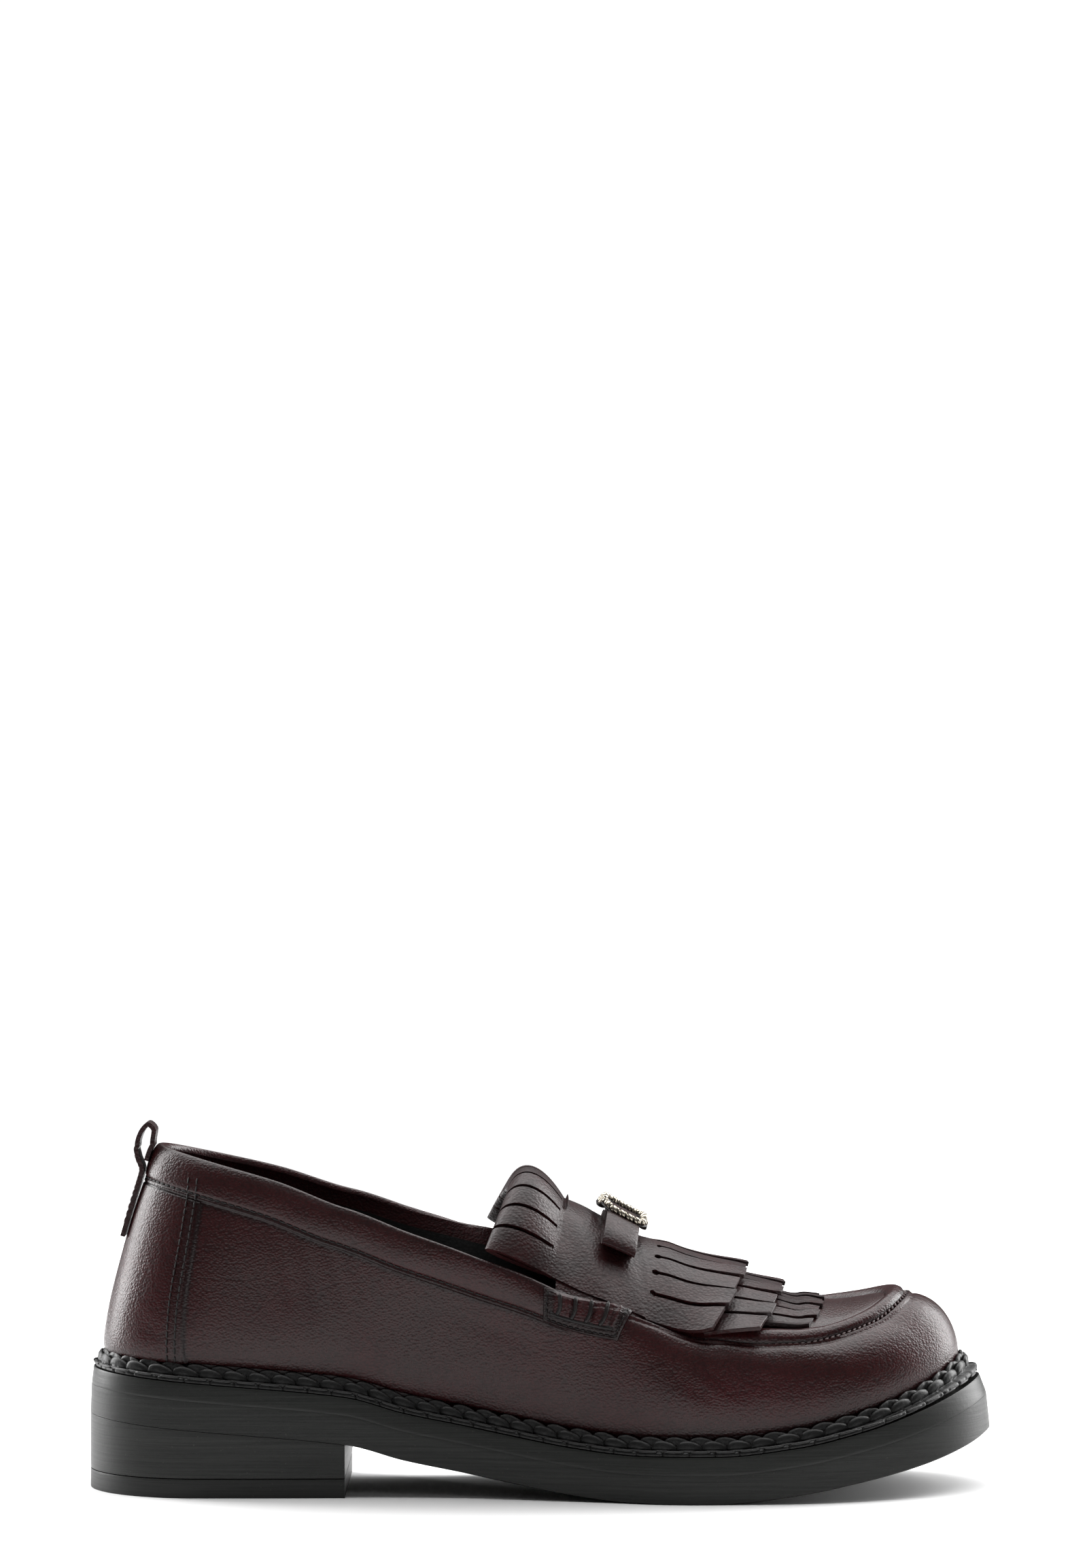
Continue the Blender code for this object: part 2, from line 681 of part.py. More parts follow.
def upper_wall_grid(side):
    """Turns and shares up the wall, with close pairs of columns and rows where the counter and the band step."""
    run = STEP_RUN / LENGTH
    behind = np.array([0, 0.3, 0.6, 0.85])
    ahead = np.linspace(0, 1, 11)[1:]
    front = np.linspace(0, 1, FRONT_COLUMNS)[1:]
    low = np.array([0, 0.16, 0.33, 0.5, 0.67, 0.84])
    base = np.concatenate([behind * 0.2, [0.2, 0.2], 0.2 + (THROAT_TURN - 0.2) * ahead])
    base = np.concatenate([base, THROAT_TURN + (1 - THROAT_TURN) * front])
    foot = band_foot(base, side, STEP_RUN)
    high = band_foot(base, side, -STEP_RUN)
    rows = [foot * share for share in low] + [foot, high, (1 + high) / 2, np.ones_like(foot)]
    up = np.stack(rows)
    edge = counter_turn(up)
    count = len(behind)
    turn = np.empty_like(up)
    turn[:, :count] = edge[:, :count] * behind
    turn[:, count] = edge[:, count] - run
    turn[:, count + 1] = edge[:, count + 1] + run
    start = count + 2
    turn[:, start : start + 10] = edge[:, start : start + 10] * (1 - ahead) + THROAT_TURN * ahead
    turn[:, start + 10 :] = base[start + 10 :]
    return turn, up


def apron_line(turn, side, share):
    """Point between the apron seam, at share 0, and the inner groove of the ridge, at share 1."""
    x, y, _ = top_line(turn, side)
    in_x, in_y = inward(top_line, turn, side)
    return x + RIDGE_WIDTH * share * in_x, y + RIDGE_WIDTH * share * in_y


def make_upper():
    """One hollow shell: wall, raised ridge round the apron, and the apron between, open at collar and foot."""
    skin = Skin()
    front = THROAT_TURN + (1 - THROAT_TURN) * np.linspace(0, 1, FRONT_COLUMNS)
    inner_edges = []
    for side in (-1, 1):
        turn, up = upper_wall_grid(side)
        x, y, z = wall(turn, side, up)
        relief = np.maximum(counter_step(turn, up), band_step(turn, side, up))
        skirt = grid_of(x[0], y[0], seat(x[0]) + GAP)[None]
        grid = np.concatenate([skirt, grid_of(x, y, z)])
        relief = np.concatenate([0 * relief[:1], relief])
        relief[:2] = 0
        skin.add(grid[:, ::-side], relief[:, ::-side])
        shares = column(RIDGE, "across")[:, None]
        ridge_x, ridge_y = apron_line(front[None], side, shares)
        rise = RIDGE_HEIGHT * column(RIDGE, "rise")[:, None] * ridge_rise(ridge_x)
        ridge = grid_of(ridge_x, ridge_y, arch_height(ridge_x, ridge_y))
        skin.add(ridge[:, ::-side], rise[:, ::-side])
        inner_edges.append((ridge_x[-1], ridge_y[-1], rise[-1]))
    (lateral_x, lateral_y, low), (medial_x, medial_y, _) = inner_edges
    share = np.linspace(0, 1, 11)
    x = lateral_x[:, None] + (medial_x - lateral_x)[:, None] * share
    y = lateral_y[:, None] + (medial_y - lateral_y)[:, None] * share
    fade = 1 - (x - x[0]) / (x[-1] - x[0])
    x = x + THROAT_BOW * 4 * share * (1 - share) * fade
    value = np.zeros_like(x)
    value[:, 0] = value[:, -1] = low
    skin.add(grid_of(x, y, arch_height(x, y))[::-1], value[::-1])
    points, faces = skin.solid(-UPPER_WALL, 0.0, carried=True)
    place("upper", points, faces, UPPER_LEATHER)


def strip_columns(half):
    """Shares across the arch of the strips' edges and a mask that marks the slits between them."""
    slit = SLIT_WIDTH / (TOP_WIDTH / 2)
    edges = np.linspace(-1, 1, STRIP_COUNT + 1)
    inner = np.stack([edges[1:-1] * half - slit / 2, edges[1:-1] * half + slit / 2], axis=1).reshape(-1)
    across = np.concatenate([[-half], inner, [half]])
    is_slit = np.arange(len(across) - 1) % 2 == 1
    return across, is_slit


def fringe_ends(row, across):
    """Where a row of fringe ends, further forward at the middle than at the sides."""
    far = np.abs(across) / row.half
    return apron_place(row.middle + (row.side - row.middle) * far**2)


def fringe_lift(row, x, across, over):
    """Height of a row of fringe over the instep: it lies on the apron's ridge and on the rows in front of it."""
    on_ridge = np.clip((np.abs(across) - RIDGE_REST) / (1 - RIDGE_REST), 0, 1)
    lift = 1.6 * GAP + 1.65 * RIDGE_HEIGHT * on_ridge * ridge_rise(x)
    for lower in over:
        lift = lift + (KILTIE_THICK + 2 * GAP) * ramp(x, apron_place(lower.start) - 1.2 * CLIMB, apron_place(lower.start) - 0.2 * CLIMB)
    tip = ramp(x, apron_place(row.start), apron_place(row.middle))
    return lift + TIP_CURL * (1 + len(over)) * tip


def make_fringe(row, over):
    """One separate row of fringe: a leather strip, slit into tongues in front of its seam."""
    across, is_slit = strip_columns(row.half)
    share = np.linspace(0, 1, FRINGE_ROWS)
    start = apron_place(row.start)
    x = start + (fringe_ends(row, across)[None] - start) * share[:, None]
    points = arch_point(x, across[None]) + arch_normal(x, across[None]) * fringe_lift(row, x, across[None], over)[..., None]
    keep = np.ones((len(share) - 1, len(across) - 1), dtype=bool)
    keep[1:, is_slit] = False
    skin = Skin()
    skin.add(points[:, ::-1], keep=keep[:, ::-1])
    place(row.name, *skin.solid(0.0, KILTIE_THICK), TRIM_LEATHER)


def make_kiltie():
    """Flap over the instep: its front is slit into the last row of fringe, its back curls into a slit roll."""
    across, is_slit = strip_columns(1.0)
    turns = np.linspace(0, 2 * np.pi - 0.5, 13)[1:]
    start = apron_place(KILTIE.start)
    rows = []
    for part in FLAP:
        bow = ROLL_BOW * (1 - across**2) * (part is FLAP[0])
        x = apron_place(part.along) + bow
        spread = across * part.half
        lift = fringe_lift(KILTIE, x, spread, (FRINGE_MIDDLE, FRINGE_FRONT))
        rows.append(arch_point(x, spread) + arch_normal(x, spread) * lift[:, None])
    for share in np.linspace(0, 1, FRINGE_ROWS):
        spread = across * KILTIE.half
        x = start + (fringe_ends(KILTIE, spread) - start) * share
        lift = fringe_lift(KILTIE, x, spread, (FRINGE_MIDDLE, FRINGE_FRONT))
        rows.append(arch_point(x, spread) + arch_normal(x, spread) * lift[:, None])
    hinge = rows[0]
    normal = arch_normal(apron_place(FLAP[0].along) + ROLL_BOW * (1 - across**2), across * FLAP[0].half)
    tilt = ROLL_TILT * (0.35 + 0.65 * across**2)
    out = np.stack([-np.cos(tilt), 0 * tilt, np.sin(tilt)], axis=1)
    up = normal - (normal * out).sum(axis=1, keepdims=True) * out
    up /= np.linalg.norm(up, axis=1, keepdims=True)
    length = ROLL_LENGTH * (ROLL_MIDDLE + (1 - ROLL_MIDDLE) * across**2)
    fullness = 1 - 0.75 * across**2
    for turn in turns:
        bulge = ROLL_CROWN * math.sin(turn / 2) * fullness if turn < np.pi else ROLL_SAG + 0 * across
        rows.insert(0, hinge + out * (length * (1 - math.cos(turn)) / 2)[:, None] + up * (bulge * math.sin(turn))[:, None])
    grid = np.stack(rows)
    keep = np.ones((len(rows) - 1, len(across) - 1), dtype=bool)
    roll_rows = len(turns)
    keep[2 : roll_rows - 1, is_slit] = False
    keep[roll_rows + len(FLAP) :, is_slit] = False
    skin = Skin()
    skin.add(grid[:, ::-1], keep=keep[:, ::-1])
    place("kiltie", *skin.solid(0.0, KILTIE_THICK), TRIM_LEATHER)


def tab_places(side, along, down):
    """Turns and shares up the wall under the tab: along it from back to front, and down from the top line.

    The wall's own lines lean forwards, so each turn is moved until its point lies at its place along the shoe.
    """
    down = TAB_WIDTH * down[:, None]
    place = THROAT_CORNER - TAB_BACK + along[None] * (TAB_LENGTH - TAB_SLANT * down / TAB_WIDTH)
    aim = place
    for _ in range(4):
        turn = turn_of((aim - COLLAR_BACK) / (APRON_FRONT - COLLAR_BACK))
        up = share_below(turn, side, down)
        aim = aim + place - wall(turn, side, up)[0]
    return turn, up


def make_tab(name, side):
    """Laced end of the saddle: a leather patch on the wall below the throat corner."""
    turn, up = tab_places(side, np.linspace(0, 1, 9), np.array([1.0, 0.75, 0.5, 0.25, 0.05]))
    fade = (turn - THROAT_TURN) * (FRONT_COLUMNS - 1) / (1 - THROAT_TURN)
    relief = BAND_STEP * np.clip(1 - fade, 0, 1)
    grid = grid_of(*wall(turn, side, up))
    skin = Skin()
    skin.add(grid[:, ::-side], relief[:, ::-side])
    points, values, faces = skin.weld()
    points, faces = lifted(points, values, faces, 2 * GAP, TAB_THICK)
    place(name, points, faces, TRIM_LEATHER)


def lifted(points, values, faces, clearance, thick):
    """Solid that lies over a surface with its own relief: both of its faces rise with each point's number."""
    normals = np.zeros_like(points)
    for face in faces:
        corner = points[face]
        normals[face] += np.cross(corner[2] - corner[0], corner[-1] - corner[1])
    normals /= np.linalg.norm(normals, axis=1, keepdims=True)
    skin = Skin()
    skin.points = [points + normals * (values + clearance)[:, None]]
    skin.values = [np.zeros(len(points))]
    skin.faces = [np.array([face + face[-1:] * (4 - len(face)) for face in faces])]
    return skin.solid(0.0, thick)


def make_bow():
    """Leather strap folded flat into a bow across the kiltie, its layers pressed together."""
    out = column(BOW, "out")
    out = np.concatenate([-out[:0:-1], out])
    width = np.linspace(-0.5, 0.5, 3)[:, None] * BOW_WIDTH
    x = THROAT_CORNER + BOW_PLACE + width - BOW_SHIFT * np.abs(out)[None] / BOW[-1].out
    spread = np.broadcast_to(out[None], x.shape)
    faces = []
    for name in ("under", "over"):
        rise = column(BOW, name)
        lift = 3 * GAP + KILTIE_THICK + BOW_RISE * np.concatenate([rise[:0:-1], rise])
        faces.append(arch_point(x, spread) + arch_normal(x, spread) * lift[None, :, None])
    under, over = faces
    skin = Skin()
    skin.add(under)
    skin.add(over[:, ::-1])
    for edge in (np.s_[0], np.s_[-1]):
        skin.add(np.stack([under[edge], over[edge]]))
    for edge in (np.s_[:, 0], np.s_[:, -1]):
        skin.add(np.stack([under[edge], over[edge]]))
    points, _, faces = skin.weld()
    place("bow", points, faces, TRIM_LEATHER)


def make_ornament():
    """Metal ring in the shape of a twisted rope, bent over the bow."""
    turn = np.linspace(0, 2 * np.pi, RING_COLUMNS + 1)
    long = RING_LONG * np.sign(np.cos(turn)) * np.abs(np.cos(turn)) ** RING_SQUARE
    wide = RING_WIDE * np.sign(np.sin(turn)) * np.abs(np.sin(turn)) ** RING_SQUARE
    x = THROAT_CORNER + BOW_PLACE - RING_BACK + long
    low = 3 * GAP + KILTIE_THICK + RING_ROPE / 2
    high = low + GAP + RING_REST * BOW_RISE
    clear = BOW_WIDTH / 2 + RING_BACK + RING_ROPE / 2
    lift = high - (high - low) * ramp(np.abs(long + 0 * x), clear, RING_LONG)
    lateral_y, _ = top_at(x, -1)
    medial_y, _ = top_at(x, 1)
    across = wide / ((medial_y - lateral_y) / 2)
    path = arch_point(x, across) + arch_normal(x, across) * lift[:, None]
    ahead = np.roll(path[:-1], -1, axis=0) - np.roll(path[:-1], 1, axis=0)
    ahead /= np.linalg.norm(ahead, axis=1, keepdims=True)
    up = arch_normal(x, across)[:-1]
    side = np.cross(ahead, up)
    side /= np.linalg.norm(side, axis=1, keepdims=True)
    up = np.cross(side, ahead)
    around = np.linspace(0, 2 * np.pi, 9)
    ring = path[:-1, None] + RING_ROPE / 2 * (
        np.cos(around)[None, :, None] * side[:, None] + np.sin(around)[None, :, None] * up[:, None]
    )
    ring = np.concatenate([ring, ring[:1]])
    skin = Skin()
    skin.add(ring)
    points, _, faces = skin.weld()
    place("ornament", points, faces, SILVER)


def make_pull_loop():
    """Leather strip sewn to the back of the heel and folded into a narrow loop above the collar."""
    up = np.linspace(0.3, 1, 60)
    back_x, _, back_z = wall(np.zeros_like(up), -1, up)
    collar_z = back_z[-1]
    rows = np.arange(len(PULL_LOOP))
    fine = np.linspace(0, len(PULL_LOOP) - 1, 25)
    z = collar_z + LOOP_HEIGHT * smooth(rows, column(PULL_LOOP, "up"), fine)
    off = LOOP_BULGE * smooth(rows, column(PULL_LOOP, "off"), fine)
    stand = max(COUNTER_STEP, BAND_STEP) + GAP + LOOP_THICK
    x = np.interp(z, back_z, back_x) - off - stand
    y = np.linspace(-0.5, 0.5, 3)[:, None] * LOOP_WIDTH
    skin = Skin()
    skin.add(grid_of(x[None], y, z[None]))
    place("pull_loop", *skin.solid(-LOOP_THICK, 0.0), TRIM_LEATHER)


for old in list(bpy.data.objects):
    bpy.data.objects.remove(old, do_unlink=True)

SHOE = bpy.data.collections.new("kiltie_loafer")
bpy.context.scene.collection.children.link(SHOE)

UPPER_LEATHER = material("burgundy_leather", (0.075, 0.040, 0.040), 0.42)
TRIM_LEATHER = material("trim_leather", (0.070, 0.048, 0.046), 0.50)
WELT_LEATHER = material("black_welt_leather", (0.022, 0.022, 0.022), 0.55)
SOLE_LEATHER = material("black_sole_leather", (0.050, 0.050, 0.048), 0.45)
RUBBER = material("black_rubber", (0.030, 0.030, 0.030), 0.60)
LINING = material("black_lining", (0.015, 0.013, 0.013), 0.60)
SILVER = material("antique_silver", (0.520, 0.480, 0.420), 0.35, 1.0)

make_sole()
make_insole()
make_welt()
make_upper()
make_fringe(FRINGE_FRONT, ())
make_fringe(FRINGE_MIDDLE, (FRINGE_FRONT,))
make_kiltie()
make_tab("side_tab_lateral", -1)
make_tab("side_tab_medial", 1)
make_bow()
make_ornament()
make_pull_loop()
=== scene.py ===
"""Kiltie loafer for the right foot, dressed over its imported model.

Metres, +Z up. +X runs from the heel to the toe, -Y is the outer side. Sizes along the shoe count from the
heel's back. Every surface is worked out from the shoe's own sizes: the sole's outline, the top line, the wall
between them and the arch over the instep.
"""

import math
from collections import namedtuple

import bmesh
import bpy
import numpy as np
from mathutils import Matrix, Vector


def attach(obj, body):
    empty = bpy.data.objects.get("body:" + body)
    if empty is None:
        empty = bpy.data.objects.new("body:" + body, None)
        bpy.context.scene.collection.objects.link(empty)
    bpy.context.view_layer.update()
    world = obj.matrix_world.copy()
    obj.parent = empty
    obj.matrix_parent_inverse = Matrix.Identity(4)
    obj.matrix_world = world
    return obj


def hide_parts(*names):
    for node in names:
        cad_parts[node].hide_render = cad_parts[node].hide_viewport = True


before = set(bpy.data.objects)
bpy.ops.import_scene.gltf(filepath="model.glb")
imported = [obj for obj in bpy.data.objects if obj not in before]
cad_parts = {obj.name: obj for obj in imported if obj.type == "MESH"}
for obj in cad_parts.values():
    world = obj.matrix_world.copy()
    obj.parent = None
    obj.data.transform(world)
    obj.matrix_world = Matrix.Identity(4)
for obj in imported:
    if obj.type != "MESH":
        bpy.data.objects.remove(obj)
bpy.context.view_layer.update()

# Driving sizes of the sole
LENGTH = 0.2840
BALL_WIDTH = 0.0980
WAIST_WIDTH = 0.0620
HEEL_WIDTH = 0.0680
CURVE = 0.0050
HEEL_LENGTH = 0.0813
HEEL_HEIGHT = 0.0236
BREAST_HEIGHT = 0.0165
BREAST_RAMP = 0.0055
TREAD_START = 0.1730
TREAD_END = 0.1970
TOE_SPRING = 0.0180
OUTSOLE_THICK = 0.0088
MIDSOLE_THICK = 0.0053
TOPPIECE_THICK = 0.0060
EDGE_BEVEL = 0.0008
EDGE_LEAN = 0.0010
TOE_LEAN = 0.0024

# Driving sizes of the welt
REACH_BACK = 0.0058
REACH_SIDE = 0.0074
REACH_TOE = 0.0102
REACH_BACK_END = 0.14
TOE_START = 0.84
WELT_THICK = 0.0014
BEAD_HEIGHT = 0.0043
BEAD_WIDTH = 0.0026

# Driving sizes of the upper
COLLAR_BACK = 0.0219
COLLAR_HEIGHT = 0.0708
INSTEP_HEIGHT = 0.0732
APRON_FRONT = 0.2572
APRON_HEIGHT = 0.0345
TOP_WIDTH = 0.0735
MEDIAL_RISE = 0.0055
BELLY = 0.0027
THROAT_CORNER = 0.1465
THROAT_BOW = 0.0080
UPPER_WALL = 0.0020
RIDGE_WIDTH = 0.0065
RIDGE_HEIGHT = 0.0025
RIDGE_START = 0.0335
RIDGE_RUN = 0.0300
COUNTER_LENGTH = 0.0340
COUNTER_STEP = 0.0007
BAND_WIDTH = 0.0122
BAND_STEP = 0.0007
ARCH_POWER = 2.1

# Driving sizes of the trim
KILTIE_THICK = 0.0015
STRIP_COUNT = 10
SLIT_WIDTH = 0.0008
ROLL_LENGTH = 0.0225
ROLL_MIDDLE = 0.82
ROLL_TILT = math.radians(22)
ROLL_CROWN = 0.0115
ROLL_SAG = 0.0016
ROLL_BOW = 0.0040
TAB_WIDTH = 0.0115
TAB_LENGTH = 0.0270
TAB_BACK = 0.0035
TAB_SLANT = 0.0042
TAB_THICK = 0.0018
BOW_WIDTH = 0.0098
BOW_PLACE = 0.0195
BOW_SHIFT = 0.0014
BOW_RISE = 0.0042
RING_LONG = 0.0071
RING_WIDE = 0.0112
RING_ROPE = 0.0022
RING_BACK = 0.0004
RING_SQUARE = 0.6
LOOP_HEIGHT = 0.0190
LOOP_BULGE = 0.0053
LOOP_WIDTH = 0.0110
LOOP_THICK = 0.0014

# Share across the arch at which the outer tongues of the fringe begin to climb onto the ridge
RIDGE_REST = 0.72

# Length over which a row of fringe climbs onto the row in front of it
CLIMB = 0.0055

# Pieces that touch are parted by this much
GAP = 0.0003

# Half widths of the sole as shares of half the heel, waist and ball widths; swing moves the middle by shares
# of CURVE
PlanRow = namedtuple("PlanRow", "along heel waist ball swing")
SOLE_PLAN = [
    PlanRow(0.00, 1.00, 0.00, 0.00, 0.00),
    PlanRow(0.20, 1.00, 0.00, 0.00, 0.00),
    PlanRow(0.30, 0.50, 0.50, 0.00, -0.20),
    PlanRow(0.40, 0.00, 1.00, 0.00, -0.60),
    PlanRow(0.50, 0.00, 0.38, 0.47, -1.00),
    PlanRow(0.60, 0.00, 0.00, 0.87, -0.90),
    PlanRow(0.68, 0.00, 0.00, 0.98, -0.40),
    PlanRow(0.76, 0.00, 0.00, 0.99, 0.00),
    PlanRow(0.84, 0.00, 0.00, 0.93, 0.30),
    PlanRow(1.00, 0.00, 0.00, 0.86, 1.00),
]
HEEL_ROUND = 0.125
TOE_ROUND = 0.20

# Underside of the waist, from the breast to the tread, as shares of the breast height
WaistRow = namedtuple("WaistRow", "along drop")
WAIST_SIDE = [
    WaistRow(0.20, 0.70),
    WaistRow(0.40, 0.48),
    WaistRow(0.56, 0.31),
    WaistRow(0.76, 0.12),
    WaistRow(0.92, 0.02),
]

# Underside of the toe, from the tread to the tip, as shares of the toe spring; thick is the edge's share
ToeRow = namedtuple("ToeRow", "along spring thick")
TOE_SIDE = [
    ToeRow(0.00, 0.00, 1.00),
    ToeRow(0.28, 0.14, 1.00),
    ToeRow(0.51, 0.33, 1.05),
    ToeRow(0.74, 0.57, 1.17),
    ToeRow(0.89, 0.79, 1.24),
    ToeRow(1.00, 1.00, 1.28),
]

# Top line: collar and apron are shares of COLLAR_HEIGHT and APRON_HEIGHT above the sole, half of
# TOP_WIDTH / 2, medial of MEDIAL_RISE on the inner side, swing of CURVE
TopRow = namedtuple("TopRow", "along half collar apron medial swing")
TOP_LINE = [
    TopRow(0.000, 0.66, 1.000, 0.00, 0.00, 0.00),
    TopRow(0.035, 0.68, 0.980, 0.00, 0.00, 0.00),
    TopRow(0.157, 0.73, 0.905, 0.00, 0.08, 0.00),
    TopRow(0.251, 0.80, 0.820, 0.00, 0.30, 0.00),
    TopRow(0.315, 0.84, 0.797, 0.00, 0.45, 0.00),
    TopRow(0.370, 0.88, 0.772, 0.00, 0.56, 0.00),
    TopRow(0.421, 0.92, 0.743, 0.00, 0.66, 0.00),
    TopRow(0.510, 0.98, 0.685, 0.00, 0.90, 0.00),
    TopRow(0.625, 1.00, 0.300, 0.61, 0.70, -0.14),
    TopRow(0.727, 1.00, 0.000, 1.00, 0.66, -0.04),
    TopRow(0.800, 0.98, 0.000, 0.93, 0.70, 0.10),
    TopRow(0.884, 0.92, 0.000, 0.872, 0.85, 0.30),
    TopRow(0.952, 0.88, 0.000, 0.892, 0.60, 0.55),
    TopRow(1.000, 0.86, 0.000, 1.000, 0.00, 0.80),
]
COLLAR_ROUND = 0.17
APRON_ROUND = 0.19

# Crown of the instep above the sole, as shares of INSTEP_HEIGHT and APRON_HEIGHT; along counts from the
# throat corner to the apron's tip
CrownRow = namedtuple("CrownRow", "along instep apron")
CROWN = [
    CrownRow(-0.170, 1.070, 0.00),
    CrownRow(-0.041, 1.030, 0.00),
    CrownRow(0.023, 1.000, 0.00),
    CrownRow(0.113, 0.955, 0.00),
    CrownRow(0.257, 0.855, 0.00),
    CrownRow(0.329, 0.812, 0.00),
    CrownRow(0.519, 0.340, 0.71),
    CrownRow(0.626, 0.110, 1.05),
    CrownRow(0.701, 0.000, 1.19),
    CrownRow(0.772, 0.000, 1.11),
    CrownRow(0.845, 0.000, 1.07),
    CrownRow(0.909, 0.000, 1.06),
    CrownRow(1.000, 0.000, 1.00),
]

# How the wall rises: squareness of its section, and its belly as a share of BELLY
WallRow = namedtuple("WallRow", "along square belly")
WALL = [
    WallRow(0.00, 1.05, 0.90),
    WallRow(0.10, 1.15, 1.00),
    WallRow(0.30, 1.35, 1.10),
    WallRow(0.50, 1.60, 0.90),
    WallRow(0.65, 1.90, 0.75),
    WallRow(0.80, 2.10, 0.60),
    WallRow(1.00, 2.20, 0.20),
]
BELLY_SKEW = 0.65

# Front edge of the heel counter, up the wall, as shares of COUNTER_LENGTH
CounterRow = namedtuple("CounterRow", "up along")
COUNTER = [CounterRow(0.00, 1.05), CounterRow(0.30, 1.05), CounterRow(0.60, 1.08), CounterRow(1.00, 1.08)]

# Section of the apron ridge, from its seam to the inner groove, as shares of RIDGE_HEIGHT
RidgeRow = namedtuple("RidgeRow", "across rise")
RIDGE = [
    RidgeRow(0.00, 0.00),
    RidgeRow(0.18, 0.75),
    RidgeRow(0.45, 1.00),
    RidgeRow(0.75, 0.65),
    RidgeRow(1.00, -0.10),
]

# Rows of fringe: start and the ends at the middle and the sides as shares of the apron, half as a share of
# half the arch
FringeRow = namedtuple("FringeRow", "name start middle side half")
FRINGE_FRONT = FringeRow("fringe_front", 0.552, 0.760, 0.711, 0.78)
FRINGE_MIDDLE = FringeRow("fringe_middle", 0.411, 0.637, 0.565, 0.975)
KILTIE = FringeRow("kiltie", 0.329, 0.525, 0.432, 0.985)

# Flap of the kiltie behind its fringe: along as a share of the apron, half as a share of half the arch
FlapRow = namedtuple("FlapRow", "along half")
FLAP = [
    FlapRow(-0.010, 0.930),
    FlapRow(0.036, 0.940),
    FlapRow(0.082, 0.950),
    FlapRow(0.165, 0.960),
    FlapRow(0.247, 0.975),
]
TIP_CURL = 0.0004

# Path of the pull loop: up as shares of LOOP_HEIGHT from the collar's top, off the heel as shares of
# LOOP_BULGE
LoopRow = namedtuple("LoopRow", "up off")
PULL_LOOP = [
    LoopRow(-1.48, 0.02),
    LoopRow(-1.06, 0.02),
    LoopRow(-0.68, 0.02),
    LoopRow(-0.43, 0.05),
    LoopRow(-0.19, 0.60),
    LoopRow(0.02, 1.00),
    LoopRow(0.24, 0.78),
    LoopRow(0.40, 0.22),
    LoopRow(0.26, -0.26),
    LoopRow(0.05, -0.17),
    LoopRow(-0.13, -0.20),
    LoopRow(-0.25, -0.24),
]

# Section of the bow, seen from the front: out as a share of half the arch, its two faces over the kiltie
# as shares of BOW_RISE
BowRow = namedtuple("BowRow", "out under over")
BOW = [
    BowRow(0.00, 0.00, 0.70),
    BowRow(0.20, 0.00, 0.82),
    BowRow(0.36, 0.00, 1.00),
    BowRow(0.50, 0.03, 1.00),
    BowRow(0.58, 0.14, 0.88),
    BowRow(0.62, 0.46, 0.62),
]


def column(rows, name):
    """One named column of a table as an array."""
    return np.array([getattr(row, name) for row in rows], dtype=float)


def smooth(at, values, x):
    """Cubic through the rows that never overshoots: slopes are harmonic means of the neighbouring ones."""
    at, values, x = (np.asarray(a, dtype=float) for a in (at, values, x))
    run = np.diff(at)
    slope = np.diff(values) / run
    product = slope[:-1] * slope[1:]
    total = slope[:-1] + slope[1:]
    inner = np.where(product > 0, 2 * product / np.where(product > 0, total, 1), 0)
    tangent = np.concatenate([slope[:1], inner, slope[-1:]])
    i = np.clip(np.searchsorted(at, x, side="right") - 1, 0, len(run) - 1)
    t = np.clip((x - at[i]) / run[i], 0, 1)
    start = values[i] * (1 + 2 * t) * (1 - t) ** 2 + tangent[i] * run[i] * t * (1 - t) ** 2
    end = values[i + 1] * t**2 * (3 - 2 * t) - tangent[i + 1] * run[i] * t**2 * (1 - t)
    return start + end


def ramp(x, start, end):
    """Rises from 0 at start to 1 at end along a soft step."""
    t = np.clip((np.asarray(x, dtype=float) - start) / (end - start), 0, 1)
    return t * t * (3 - 2 * t)


def along_of(turn):
    """Share of a closed line's length at a turn from 0, its back, to 1, its front, closer at both ends."""
    return (1 - np.cos(np.pi * np.asarray(turn, dtype=float))) / 2


def turn_of(along):
    """Inverse of along_of."""
    return np.arccos(np.clip(1 - 2 * np.asarray(along, dtype=float), -1, 1)) / np.pi


def round_ends(along, back, front):
    """Quarter ellipses that close a line's half width at its back and front."""
    at_back = np.clip(1 - along / back, 0, 1)
    at_front = np.clip(1 - (1 - along) / front, 0, 1)
    return np.sqrt(1 - at_back**2) * np.sqrt(1 - at_front**2)


def sole_edge(turn, side):
    """Plan of the sole's edge, from its back at turn 0 to its tip at 1; side is -1 outside and 1 inside."""
    along = along_of(turn)
    at = column(SOLE_PLAN, "along")
    shares = zip(("heel", "waist", "ball"), (HEEL_WIDTH, WAIST_WIDTH, BALL_WIDTH))
    half = sum(smooth(at, column(SOLE_PLAN, name), along) * width / 2 for name, width in shares)
    middle = CURVE * smooth(at, column(SOLE_PLAN, "swing"), along)
    flip = np.where((np.asarray(turn) < 0) | (np.asarray(turn) > 1), -1, 1)
    return LENGTH * along, middle + side * flip * half * round_ends(along, HEEL_ROUND, TOE_ROUND)


def inward(line, turn, side):
    """Unit normal in plan, pointing into the closed line."""
    step = 1e-4
    ahead_x, ahead_y = line(np.asarray(turn) + step, side)[:2]
    back_x, back_y = line(np.asarray(turn) - step, side)[:2]
    run_x = ahead_x - back_x
    run_y = ahead_y - back_y
    size = np.hypot(run_x, run_y)
    return side * run_y / size, -side * run_x / size


def sole_line(turn, side, inset):
    """The sole's edge moved inwards by inset."""
    x, y = sole_edge(turn, side)
    in_x, in_y = inward(sole_edge, turn, side)
    return x + inset * in_x, y + inset * in_y


